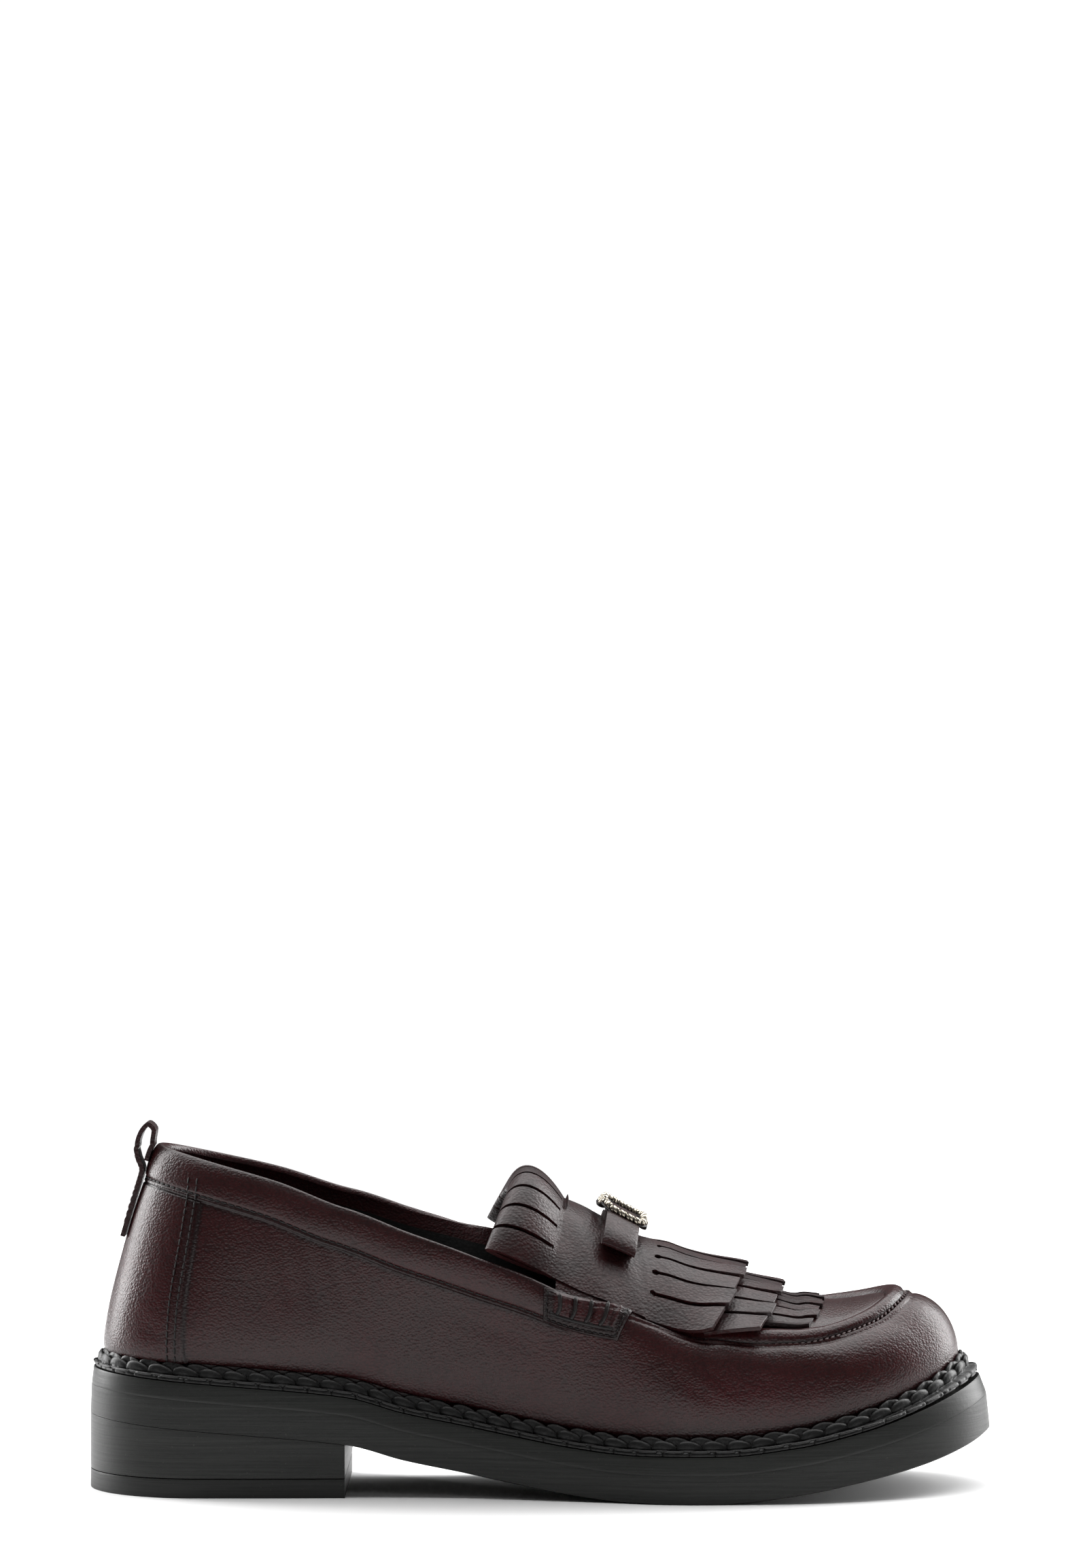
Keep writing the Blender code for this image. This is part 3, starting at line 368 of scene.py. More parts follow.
def reach(turn):
    """Width of the welt that shows outside the upper."""
    along = along_of(turn)
    back_to_side = REACH_BACK + (REACH_SIDE - REACH_BACK) * ramp(along, 0.0, REACH_BACK_END)
    return back_to_side + (REACH_TOE - REACH_SIDE) * ramp(along, TOE_START, 1.0)


def underside(x):
    """Height of the outsole's lower face over the floor."""
    waist = HEEL_LENGTH + (TREAD_START - HEEL_LENGTH) * column(WAIST_SIDE, "along")
    toe = TREAD_END + (LENGTH - TREAD_END) * column(TOE_SIDE, "along")
    at = np.concatenate([[0, HEEL_LENGTH / 2, HEEL_LENGTH], waist, [TREAD_START], toe])
    over_heel = [HEEL_HEIGHT, 0.53 * HEEL_HEIGHT + 0.47 * BREAST_HEIGHT, BREAST_HEIGHT]
    drop, spring = BREAST_HEIGHT * column(WAIST_SIDE, "drop"), TOE_SPRING * column(TOE_SIDE, "spring")
    height = np.concatenate([over_heel, drop, [0], spring])
    return smooth(at, height, x)


def edge_share(x):
    """Growth of the sole's layers towards the toe."""
    return smooth(TREAD_END + (LENGTH - TREAD_END) * column(TOE_SIDE, "along"), column(TOE_SIDE, "thick"), x)


def outsole_top(x):
    return underside(x) + OUTSOLE_THICK * edge_share(x)


def seat(x):
    """Height of the midsole's upper face, on which upper, welt and insole stand."""
    return outsole_top(x) + GAP + MIDSOLE_THICK * edge_share(x)


def feather(turn, side):
    """Line where the wall of the upper leaves the bead."""
    x, y = sole_line(turn, side, reach(turn))
    return x, y, seat(x) + WELT_THICK + BEAD_HEIGHT


def top_at(x, side):
    """Place across and height of the top line over a point of the length."""
    along = np.clip((np.asarray(x, dtype=float) - COLLAR_BACK) / (APRON_FRONT - COLLAR_BACK), 0, 1)
    at = column(TOP_LINE, "along")
    half = TOP_WIDTH / 2 * smooth(at, column(TOP_LINE, "half"), along)
    half = half * round_ends(along, COLLAR_ROUND, APRON_ROUND)
    middle = CURVE * smooth(at, column(TOP_LINE, "swing"), along)
    rise = COLLAR_HEIGHT * smooth(at, column(TOP_LINE, "collar"), along)
    rise = rise + APRON_HEIGHT * smooth(at, column(TOP_LINE, "apron"), along)
    rise = rise + (side > 0) * MEDIAL_RISE * smooth(at, column(TOP_LINE, "medial"), along)
    return middle + side * half, seat(x) + rise


def top_line(turn, side):
    """Collar and apron seam as one closed line."""
    x = COLLAR_BACK + (APRON_FRONT - COLLAR_BACK) * along_of(turn)
    flip = np.where((np.asarray(turn) < 0) | (np.asarray(turn) > 1), -1, 1)
    lateral, _ = top_at(x, -1)
    medial, _ = top_at(x, 1)
    _, z = top_at(x, side)
    return x, (lateral + medial) / 2 + side * flip * (medial - lateral) / 2, z


def wall(turn, side, up):
    """The upper's wall: a quarter of a superellipse from feather line to top line, with a low belly."""
    foot_x, foot_y, foot_z = feather(turn, side)
    top_x, top_y, top_z = top_line(turn, side)
    in_x, in_y = inward(sole_edge, turn, side)
    along = along_of(turn)
    power = 2 / smooth(column(WALL, "along"), column(WALL, "square"), along)
    across = 1 - np.cos(up * np.pi / 2) ** power
    rise = np.sin(up * np.pi / 2) ** power
    belly = BELLY * smooth(column(WALL, "along"), column(WALL, "belly"), along)
    belly = belly * np.sin(np.pi * up**BELLY_SKEW)
    x = foot_x + (top_x - foot_x) * across - belly * in_x
    y = foot_y + (top_y - foot_y) * across - belly * in_y
    return x, y, foot_z + (top_z - foot_z) * rise


def below_top(turn, side, up):
    """Distance of a point of the wall from the top line over it."""
    point = np.array(np.broadcast_arrays(*wall(turn, side, up)))
    top = np.array(np.broadcast_arrays(*top_line(turn + 0 * up, side)))
    return np.sqrt(((top - point) ** 2).sum(axis=0))


def share_below(turn, side, down):
    """Share up the wall at a distance down from the top line."""
    low = 0 * (turn + down)
    high = low + 1
    for _ in range(30):
        middle = (low + high) / 2
        far = below_top(turn, side, middle) > down
        low = np.where(far, middle, low)
        high = np.where(far, high, middle)
    return (low + high) / 2


def apron_place(share):
    """Place along the shoe at a share of the way from the throat corner to the apron's tip."""
    return THROAT_CORNER + (APRON_FRONT - THROAT_CORNER) * share


def arch_height(x, y):
    """Height of the instep over a point of the plan: it spans the top line's sides and meets the crown."""
    lateral_y, lateral_z = top_at(x, -1)
    medial_y, medial_z = top_at(x, 1)
    half = np.maximum((medial_y - lateral_y) / 2, 1e-6)
    across = np.clip((y - (lateral_y + medial_y) / 2) / half, -1, 1)
    at = apron_place(column(CROWN, "along"))
    crown = seat(x) + INSTEP_HEIGHT * smooth(at, column(CROWN, "instep"), x)
    crown = crown + APRON_HEIGHT * smooth(at, column(CROWN, "apron"), x)
    edge = lateral_z + (medial_z - lateral_z) * (1 + across) / 2
    lift = (crown - (lateral_z + medial_z) / 2) * (1 - np.abs(across) ** ARCH_POWER)
    return edge + lift


def arch_point(x, across):
    """Point of the instep at a share across the arch, -1 at the outer and 1 at the inner top line."""
    lateral_y, _ = top_at(x, -1)
    medial_y, _ = top_at(x, 1)
    y = (lateral_y + medial_y) / 2 + across * (medial_y - lateral_y) / 2
    return np.stack(np.broadcast_arrays(x, y, arch_height(x, y)), axis=-1)


def arch_normal(x, across):
    """Unit normal of the instep, pointing up and out."""
    step = 1e-5
    along = arch_point(x + step, across) - arch_point(x - step, across)
    sideways = arch_point(x, across + step) - arch_point(x, across - step)
    normal = np.cross(along, sideways)
    return normal / np.linalg.norm(normal, axis=-1, keepdims=True)


def counter_turn(up):
    """Turn of the counter's front edge at a share up the wall."""
    place = COUNTER_LENGTH * smooth(column(COUNTER, "up"), column(COUNTER, "along"), up)
    back = REACH_BACK + (COLLAR_BACK - REACH_BACK) * up
    front = LENGTH - REACH_TOE + (APRON_FRONT - LENGTH + REACH_TOE) * up
    return turn_of((place - back) / (front - back))


THROAT_TURN = float(turn_of((THROAT_CORNER - COLLAR_BACK) / (APRON_FRONT - COLLAR_BACK)))


def ridge_rise(x):
    """Share of the apron ridge's height: it dies away under the kiltie."""
    start = THROAT_CORNER + RIDGE_START
    return ramp(x, start, start + RIDGE_RUN)


def grid_of(x, y, z):
    """Grid of points from three grids of numbers."""
    return np.stack(np.broadcast_arrays(x, y, z), axis=-1)


def apron_line(turn, side, share):
    """Point between the apron seam, at share 0, and the inner groove of the ridge, at share 1."""
    x, y, _ = top_line(turn, side)
    in_x, in_y = inward(top_line, turn, side)
    return x + RIDGE_WIDTH * share * in_x, y + RIDGE_WIDTH * share * in_y


def bell(distance, width):
    """Soft bump that is 1 on a line and fades over width to either side."""
    return np.exp(-((np.asarray(distance, dtype=float) / width) ** 2))


def unit(vectors):
    """Vectors brought to length 1."""
    return vectors / np.maximum(np.linalg.norm(vectors, axis=-1, keepdims=True), 1e-12)


def grid_normals(grid):
    """Unit normals of a grid of points: the cross product of its rows' and columns' slopes."""
    return unit(np.cross(np.gradient(grid, axis=1), np.gradient(grid, axis=0)))


def distances(path):
    """Distance of each point of a path from its start."""
    return np.concatenate([[0], np.cumsum(np.linalg.norm(np.diff(path, axis=0), axis=1))])


def at_distance(places, far, path):
    """Points of a path at given distances from its start."""
    return np.stack([np.interp(places, far, path[:, i]) for i in range(3)], axis=1)


def direction(places, far, path):
    """Unit directions of a path at given distances from its start."""
    step = 0.0003
    return unit(at_distance(places + step, far, path) - at_distance(places - step, far, path))


class Sheet:
    """Surface gathered from grids of points; grids that share an edge are joined along it."""

    def __init__(self, *traits):
        self.names = ("rise",) + traits
        self.points = []
        self.quads = []
        self.values = []
        self.count = 0

    def add(self, grid, keep=None, flip=False, **values):
        """Adds a grid of points with a number of each kind for each point; keep marks the cells that stay."""
        rows, columns = grid.shape[:2]
        index = self.count + np.arange(rows * columns).reshape(rows, columns)
        quads = np.stack([index[:-1, :-1], index[:-1, 1:], index[1:, 1:], index[1:, :-1]], axis=-1)
        if flip:
            quads = quads[..., ::-1]
        quads = quads[keep] if keep is not None else quads.reshape(-1, 4)
        numbers = [np.broadcast_to(values.get(name, 0.0), (rows, columns)).reshape(-1) for name in self.names]
        self.points.append(grid.reshape(-1, 3))
        self.quads.append(quads)
        self.values.append(np.stack(numbers, axis=1))
        self.count += rows * columns

    def join(self):
        """Merges equal points, makes flattened cells triangles, drops unused points and lifts the rest."""
        points = np.concatenate(self.points)
        values = np.concatenate(self.values)
        keys = np.round(points / 1e-6).astype(np.int64)
        _, first, twin = np.unique(keys, axis=0, return_index=True, return_inverse=True)
        quads = twin.reshape(-1)[np.concatenate(self.quads)]
        same = quads == np.roll(quads, 1, axis=1)
        whole = quads[~same.any(axis=1)]
        bent = same.sum(axis=1) == 1
        thirds = quads[bent][~same[bent]].reshape(-1, 3)
        used = np.unique(np.concatenate([whole.reshape(-1), thirds.reshape(-1)]))
        renumber = np.zeros(len(first), dtype=np.int64)
        renumber[used] = np.arange(len(used))
        self.whole, self.thirds = renumber[whole], renumber[thirds]
        self.place, self.value = points[first][used], values[first][used]
        self.normal = self.slopes()
        self.place = self.place + self.normal * self.value[:, :1]
        return self

    def slopes(self):
        """Unit normal at each point, from the diagonals of the faces round it."""
        normal = np.zeros_like(self.place)
        for faces in (self.whole, self.thirds):
            corner = self.place[faces]
            across = np.cross(corner[:, 2] - corner[:, 0], corner[:, -1] - corner[:, 1])
            for i in range(faces.shape[1]):
                np.add.at(normal, faces[:, i], across)
        return unit(normal)

    def thicken(self, below, above):
        """Makes a closed body: a face above, a face below, and walls round every open edge."""
        count = len(self.place)
        normal = self.slopes()
        starts = [np.roll(faces, 1, axis=1).reshape(-1) for faces in (self.whole, self.thirds)]
        ends = [faces.reshape(-1) for faces in (self.whole, self.thirds)]
        start, end = np.concatenate(starts), np.concatenate(ends)
        open_edge = ~np.isin(start * count + end, end * count + start)
        start, end = start[open_edge], end[open_edge]
        rims = np.stack([end, start, start + count, end + count], axis=1)
        self.place = np.concatenate([self.place + normal * above, self.place + normal * below])
        self.whole = np.concatenate([self.whole, self.whole[:, ::-1] + count, rims])
        self.thirds = np.concatenate([self.thirds, self.thirds[:, ::-1] + count])
        self.value = np.concatenate([self.value, self.value])
        return self


def make_piece(name, sheet, finish, stands_for=(), bevel=0.0, sharp=45):
    """Puts a joined sheet into a mesh, its numbers as point attributes, and lets it ride with the shoe."""
    faces = sheet.whole.tolist() + sheet.thirds.tolist()
    mesh = bpy.data.meshes.new(name)
    mesh.from_pydata((sheet.place - [HEEL_LENGTH / 2, 0, 0]).tolist(), [], faces)
    for place, trait in enumerate(sheet.names[1:], start=1):
        layer = mesh.attributes.new(trait, "FLOAT", "POINT")
        layer.data.foreach_set("value", np.ascontiguousarray(sheet.value[:, place], dtype=np.float32))
    mesh.shade_smooth()
    mesh.set_sharp_from_angle(angle=math.radians(sharp))
    mesh.materials.append(finish.material)
    made = bpy.data.objects.new(name, mesh)
    bpy.context.scene.collection.objects.link(made)
    if bevel:
        rounding = made.modifiers.new("rounded_edges", "BEVEL")
        rounding.width = bevel
        rounding.segments = 2
        rounding.limit_method = "ANGLE"
        rounding.angle_limit = math.radians(45)
        rounding.harden_normals = False
    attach(made, "root")
    if stands_for:
        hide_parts(*stands_for)
    return made


def beads(place, along, up, length, width, height):
    """Grids of closed oval beads, one at each place: half a sine down the length, an ellipse round it."""
    turn = np.linspace(0, np.pi, 7)
    around = np.linspace(0, 2 * np.pi, 9)
    across = unit(np.cross(along, up))
    up = unit(np.cross(across, along))
    fullness = np.sin(turn) ** 0.6
    share = -np.cos(turn) / 2
    body = place[:, None, None] + along[:, None, None] * (length * share)[None, :, None, None]
    ring = np.cos(around)[:, None] * width / 2
    lift = np.sin(around)[:, None] * height / 2
    return body + fullness[None, :, None, None] * (across[:, None, None] * ring + up[:, None, None] * lift)


def tube(path, up, width, height, closed=False):
    """Grid of a tube carried along a path: an ellipse across it, pinched shut at its ends unless closed."""
    ahead = unit(np.gradient(path, axis=0))
    if closed:
        ahead = unit(np.roll(path, -1, axis=0) - np.roll(path, 1, axis=0))
    across = unit(np.cross(ahead, up))
    up = unit(np.cross(across, ahead))
    around = np.linspace(0, 2 * np.pi, 13)
    size = np.ones((len(path), 1, 1))
    if not closed:
        size[0] = size[-1] = 0
    ring = np.cos(around)[None, :, None] * across[:, None] * width / 2
    ring = ring + np.sin(around)[None, :, None] * up[:, None] * height / 2
    return path[:, None] + ring * size


class Value:
    """One value of a material, so that shader maths is written as arithmetic."""

    def __init__(self, finish, socket):
        self.finish = finish
        self.socket = socket

    def maths(self, operation, first, second):
        return self.finish.node("ShaderNodeMath", {"operation": operation}, {0: first, 1: second})

    def __add__(self, other):
        return self.maths("ADD", self, other)

    def __sub__(self, other):
        return self.maths("SUBTRACT", self, other)

    def __rsub__(self, other):
        return self.maths("SUBTRACT", other, self)

    def __mul__(self, other):
        return self.maths("MULTIPLY", self, other)

    __radd__ = __add__
    __rmul__ = __mul__

    def between(self, low, high):
        """Rises softly from 0 at low to 1 at high."""
        settings = {"interpolation_type": "SMOOTHSTEP"}
        inputs = {"Value": self, "From Min": low, "From Max": high}
        return self.finish.node("ShaderNodeMapRange", settings, inputs)


class Finish:
    """A material with its slot name and helpers for its nodes."""

    def __init__(self, name, slot, roughness, metallic=0.0, coat=0.0, coat_roughness=0.2, specular=0.5):
        self.slot = slot
        self.material = bpy.data.materials.new(name)
        self.material.use_nodes = True
        self.tree = self.material.node_tree
        self.shader = self.tree.nodes["Principled BSDF"]
        self.put("Roughness", roughness)
        self.put("Metallic", metallic)
        self.put("Coat Weight", coat)
        self.put("Coat Roughness", coat_roughness)
        self.put("Specular IOR Level", specular)

    def feed(self, socket, value):
        if isinstance(value, Value):
            self.tree.links.new(value.socket, socket)
        else:
            socket.default_value = value

    def put(self, name, value):
        self.feed(self.shader.inputs[name], value)

    def node(self, kind, settings=None, inputs=None, output=0):
        """Adds one node: its settings first, then the values or links of its sockets."""
        made = self.tree.nodes.new(kind)
        for name, value in (settings or {}).items():
            setattr(made, name, value)
        for key, value in (inputs or {}).items():
            self.feed(made.inputs[key], value)
        return Value(self, made.outputs[output])

    def place(self, stretch=(1, 1, 1), turned=(0, 0, 0)):
        """The shoe's own coordinates, stretched and turned."""
        own = self.node("ShaderNodeTexCoord", output="Object")
        return self.node("ShaderNodeMapping", None, {"Vector": own, "Scale": stretch, "Rotation": turned})

    def noise(self, where, scale, detail=2.0, rough=0.5):
        inputs = {"Vector": where, "Scale": scale, "Detail": detail, "Roughness": rough}
        return self.node("ShaderNodeTexNoise", None, inputs)

    def cells(self, where, scale):
        return self.node("ShaderNodeTexVoronoi", None, {"Vector": where, "Scale": scale}, "Distance")

    def trait(self, name):
        return self.node("ShaderNodeAttribute", {"attribute_name": name}, None, "Fac")

    def blend(self, share, first, second):
        """Colour between two colours."""
        colours = [c if isinstance(c, Value) else (*c, 1.0) for c in (first, second)]
        return self.node("ShaderNodeMix", {"data_type": "RGBA"}, {0: share, 6: colours[0], 7: colours[1]}, 2)

    def bump(self, height, depth):
        """Relief of a height between 0 and 1, depth metres deep."""
        inputs = {"Height": height, "Distance": depth, "Strength": 1.0}
        self.put("Normal", self.node("ShaderNodeBump", None, inputs))


def fringe_ends(row, across):
    """Where a row of fringe ends, further forward at the middle than at the sides."""
    far = np.abs(across) / row.half
    return apron_place(row.middle + (row.side - row.middle) * far**2)


def fringe_lift(row, x, across, over):
    """Height of a row of fringe over the instep: it lies on the apron's ridge and on the rows before it."""
    on_ridge = np.clip((np.abs(across) - RIDGE_REST) / (1 - RIDGE_REST), 0, 1)
    lift = 1.6 * GAP + 1.65 * RIDGE_HEIGHT * on_ridge * ridge_rise(x)
    for lower in over:
        start = apron_place(lower.start)
        lift = lift + (KILTIE_THICK + 2 * GAP) * ramp(x, start - 4.0 * CLIMB, start - 0.2 * CLIMB)
    tip = ramp(x, apron_place(row.start), apron_place(row.middle))
    return lift + TIP_CURL * (1 + len(over)) * tip


# Creases of the leather: two ends along the shoe and up from the floor, depth of the trough, its half width
Crease = namedtuple("Crease", "x0 z0 x1 z1 deep wide")
CREASES = [
    Crease(0.0600, 0.0860, 0.0640, 0.0600, 0.00022, 0.0016),
    Crease(0.0690, 0.0830, 0.0715, 0.0560, 0.00026, 0.0018),
    Crease(0.0765, 0.0800, 0.0800, 0.0590, 0.00024, 0.0018),
    Crease(0.0845, 0.0770, 0.0860, 0.0610, 0.00018, 0.0016),
    Crease(0.1160, 0.0560, 0.1420, 0.0470, 0.00016, 0.0030),
    Crease(0.1820, 0.0410, 0.1960, 0.0300, 0.00020, 0.0026),
    Crease(0.1890, 0.0430, 0.2050, 0.0330, 0.00022, 0.0028),
    Crease(0.2000, 0.0420, 0.2140, 0.0350, 0.00018, 0.0026),
    Crease(0.0440, 0.0400, 0.0600, 0.0360, 0.00016, 0.0030),
    Crease(0.0150, 0.0560, 0.0250, 0.0480, 0.00018, 0.0030),
]

# Redder, darker areas of the finish: middle along the shoe and up, reach along and up, strength
Patch = namedtuple("Patch", "x z long high strength")
PATCHES = [
    Patch(0.0120, 0.0650, 0.0200, 0.0300, 0.80),
    Patch(0.0900, 0.0300, 0.0500, 0.0080, 0.50),
    Patch(0.2050, 0.0330, 0.0240, 0.0080, 0.90),
    Patch(0.2550, 0.0480, 0.0160, 0.0120, 0.70),
    Patch(0.1600, 0.0480, 0.0260, 0.0070, 0.60),
    Patch(0.1150, 0.0700, 0.0300, 0.0060, 0.60),
]

# The wall's grid is close within ZONE of the counter's edge and the band's foot; it has FRONT_TURNS columns
# in front of the throat
NEAR = np.linspace(-1, 1, 23)
ZONE = 0.0030
FRONT_TURNS = 190

# Depth of the groove under a row of stitches; the rows' places behind the counter's edge and above the
# band's foot
STITCH_DEEP = 0.0002
COUNTER_ROWS = (0.0013, 0.0040)
BAND_ROW = 0.0016

# Leather turned in over the collar, and pitch of the welt's scallops
FACING = 0.0060
PETAL = 0.0075


def wall_places(side):
    """Turns and shares up the wall, closer together at the counter's edge and at the band's foot."""
    run = ZONE / LENGTH
    behind, ahead = np.linspace(0, 1, 22)[:-1], np.linspace(0, 1, 100)[1:]
    front = np.linspace(0, 1, FRONT_TURNS + 1)[1:]
    low, high = np.linspace(0, 1, 52)[:-1], np.linspace(0, 1, 18)[1:]

    def turns(up):
        edge = counter_turn(up)
        last = edge + run
        parts = [(edge - run) * behind, edge + run * NEAR, last + (THROAT_TURN - last) * ahead]
        parts.append(THROAT_TURN + (1 - THROAT_TURN) * front + 0 * edge)
        return np.concatenate(parts, axis=1)

    base = turns(np.full((1, 1), 0.8))[0]
    behind_throat = np.minimum(base, THROAT_TURN)
    offsets = (0.0, ZONE, -ZONE)
    foot, start, end = (share_below(behind_throat, side, BAND_WIDTH + off + 0 * base) for off in offsets)
    middle = foot + np.where(NEAR[:, None] < 0, foot - start, end - foot) * NEAR[:, None]
    up = np.concatenate([start * low[:, None], middle, end + (1 - end) * high[:, None]])
    turn = np.concatenate([turns(row_up[:1, None]) for row_up in up])
    return turn, up


def trough(x, z, rows):
    """Depth of the listed creases at a place: each fades across its line and towards its two ends."""
    depth = 0 * x
    for row in rows:
        run = np.array([row.x1 - row.x0, row.z1 - row.z0])
        share = ((x - row.x0) * run[0] + (z - row.z0) * run[1]) / (run**2).sum()
        near = np.clip(share, 0, 1)
        away = np.hypot(x - row.x0 - near * run[0], z - row.z0 - near * run[1])
        depth = depth + row.deep * bell(away, row.wide) * np.sin(np.pi * np.clip(0.1 + 0.8 * share, 0, 1))
    return depth


def patches(x, z):
    """Strength of the redder areas at a place."""
    total = 0
    for row in PATCHES:
        total = total + row.strength * bell(np.hypot((x - row.x) / row.long, (z - row.z) / row.high), 1.0)
    return np.clip(total, 0, 1)


def swell(x, y, z):
    """Slow unevenness of worn leather: three crossed waves."""
    waves = np.sin(150 * x + 60 * z + 1.3) + np.sin(95 * x - 170 * z + 90 * y)
    return 0.00006 * (waves + np.sin(230 * z + 40 * x + 0.4))


def upper_relief(turn, side, up):
    """Lift of the wall over the plain last, and how near each point lies to a seam or step, which darkens it
    partly as painted shade.
    """
    x, y, z = wall(turn, side, up)
    edge_x = wall(counter_turn(up), side, up)[0]
    ahead = x - edge_x
    down = below_top(turn, side, up)
    collar = 1 - ramp(turn, THROAT_TURN - 0.002, THROAT_TURN + 0.012)
    seam = (1 - collar) * ramp(x, THROAT_CORNER + 0.012, THROAT_CORNER + 0.022)
    counter = COUNTER_STEP * (1 - ramp(ahead, -0.0004, 0.0004)) + 0.0003 * bell(ahead + 0.0026, 0.0012)
    counter = counter - STITCH_DEEP * sum(bell(ahead + back, 0.00035) for back in COUNTER_ROWS)
    band = BAND_STEP * (1 - ramp(down, BAND_WIDTH - 0.0005, BAND_WIDTH + 0.0004))
    pillow = np.sin(np.pi * np.clip(down / (BAND_WIDTH - BAND_ROW), 0, 1)) ** 0.7
    band = band + 0.0007 * pillow - 0.0004 * bell(down - BAND_WIDTH + BAND_ROW, 0.00045)
    relief = np.maximum(counter, 0) * (1 - ramp(down, BAND_WIDTH + 0.0006, BAND_WIDTH)) + 0 * down
    relief = np.where(down < BAND_WIDTH, np.maximum(band, 0), relief) * collar + (1 - collar) * counter
    lip = 0.0006 * bell(down - 0.0013, 0.0007) - 0.0005 * bell(down, 0.0005)
    lip = lip - 0.00025 * bell(down - 0.0028, 0.0008)
    calm = ramp(up, 0.0, 0.06)
    relief = relief + seam * lip + calm * (swell(x, y, z) * (down > 0.003) - trough(x, z, CREASES))
    # Darkening: painted shade just in front of the counter's raised edge, dark seam mixed with painted shade
    # at the band's foot and in the apron seam's groove, darker over the counter's stitch rows and along the
    # collar's top, and darker towards the foot of the wall.
    under_band = ramp(down, BAND_WIDTH - 0.0005, BAND_WIDTH)
    painted_shade_and_dark_seams = [under_band * bell(ahead, 0.0008), 0.7 * under_band * bell(ahead + 0.0026, 0.0020)]
    painted_shade_and_dark_seams += [collar * bell(down - BAND_WIDTH, 0.0012)]
    painted_shade_and_dark_seams += [seam * bell(down, 0.0010), 0.8 * bell(up, 0.05), 0.5 * collar * bell(down, 0.0016)]
    return relief, np.clip(sum(painted_shade_and_dark_seams), 0, 1), patches(x, z)


def lifted_wall(side, turn, up):
    """The wall's grid moved out by its relief."""
    base = grid_of(*wall(turn, side, up))
    relief, seam, patch = upper_relief(turn, side, up)
    outward = grid_normals(base) * -side
    return base, base + outward * relief[..., None], outward, seam, patch


def make_upper(finish):
    """Leather of the upper: wall, rolled collar with its facing, apron ridge and apron, as one skin."""
    # The seam attribute carries darkening along seams and steps, partly painted shade; patch carries the
    # redder areas.
    sheet = Sheet("seam", "patch")
    inner_edges = []
    for side in (-1, 1):
        turn, up = wall_places(side)
        base, outer, outward, seam, patch = lifted_wall(side, turn, up)
        collar = turn.shape[1] - FRONT_TURNS
        top = outer[-1]
        skirt = outer[0] - [0, 0, WELT_THICK + BEAD_HEIGHT - GAP]
        front = turn[-1, collar - 1 :]
        shares = np.linspace(0, 1, 19)[:, None]
        ridge_x, ridge_y = apron_line(front[None], side, shares)
        ridge = grid_of(ridge_x, ridge_y, arch_height(ridge_x, ridge_y))
        rise = RIDGE_HEIGHT * smooth(column(RIDGE, "across"), column(RIDGE, "rise"), shares)
        rise = rise * ridge_rise(ridge_x)
        ridge = ridge + grid_normals(ridge) * -side * rise[..., None]
        ridge[0] = top[collar - 1 :]
        # Darker at the apron seam and in the ridge's inner groove: dark seam with painted shade in the
        # grooves.
        ridge_seam_and_painted_shade = bell(shares, 0.12) + 0.8 * bell(shares - 1, 0.10) + 0 * ridge_x
        skin = np.concatenate([skirt[None], outer])
        seam, patch = (np.concatenate([number[:1], number]) for number in (seam, patch))
        sheet.add(skin, flip=side > 0, seam=seam, patch=patch)
        sheet.add(ridge, flip=side > 0, seam=np.clip(ridge_seam_and_painted_shade, 0, 1), patch=0.5)
        inner_edges.append((ridge_x[-1], ridge_y[-1], ridge[-1]))
        inner = base[-1] - outward[-1] * UPPER_WALL
        centre = (top + inner) / 2
        half = np.linalg.norm(top - inner, axis=-1)[:, None] / 2
        rising = unit(base[-1] - base[-2])
        angle = np.linspace(0, np.pi, 9)[:, None, None]
        rim = centre + half * (np.cos(angle) * outward[-1] + np.sin(angle) * rising)
        depth = np.linspace(0, FACING, 10)[1:, None]
        low = share_below(turn[-1][None] + 0 * depth, side, depth + 0 * turn[-1][None])
        facing = grid_of(*wall(turn[-1][None] + 0 * depth, side, low))
        facing = facing - grid_normals(facing) * side * UPPER_WALL
        roll = np.concatenate([rim[:-1], inner[None], facing])[:, :collar]
        sheet.add(roll, flip=side > 0, seam=0.15, patch=0.9)
    (lateral_x, lateral_y, lateral), (medial_x, medial_y, medial) = inner_edges
    share = np.linspace(0, 1, 49)
    x = lateral_x[:, None] + (medial_x - lateral_x)[:, None] * share
    y = lateral_y[:, None] + (medial_y - lateral_y)[:, None] * share
    fade = 1 - (x - x[0]) / (x[-1] - x[0])
    x = x + THROAT_BOW * 4 * share * (1 - share) * fade
    plug = grid_of(x, y, arch_height(x, y))
    settle = np.clip(bell(share, 0.06) + bell(share - 1, 0.06), 0, 1)[None, :, None]
    outer_half = share[None, :, None] < 0.5
    gap = np.where(outer_half, lateral[:, None] - plug[:, :1], medial[:, None] - plug[:, -1:])
    plug = plug + gap * settle
    plug[:, 0], plug[:, -1] = lateral, medial
    sheet.add(plug, seam=0.0, patch=0.2)
    sheet.join()
    return make_piece("upper_leather", sheet, finish, ("upper",), sharp=70)


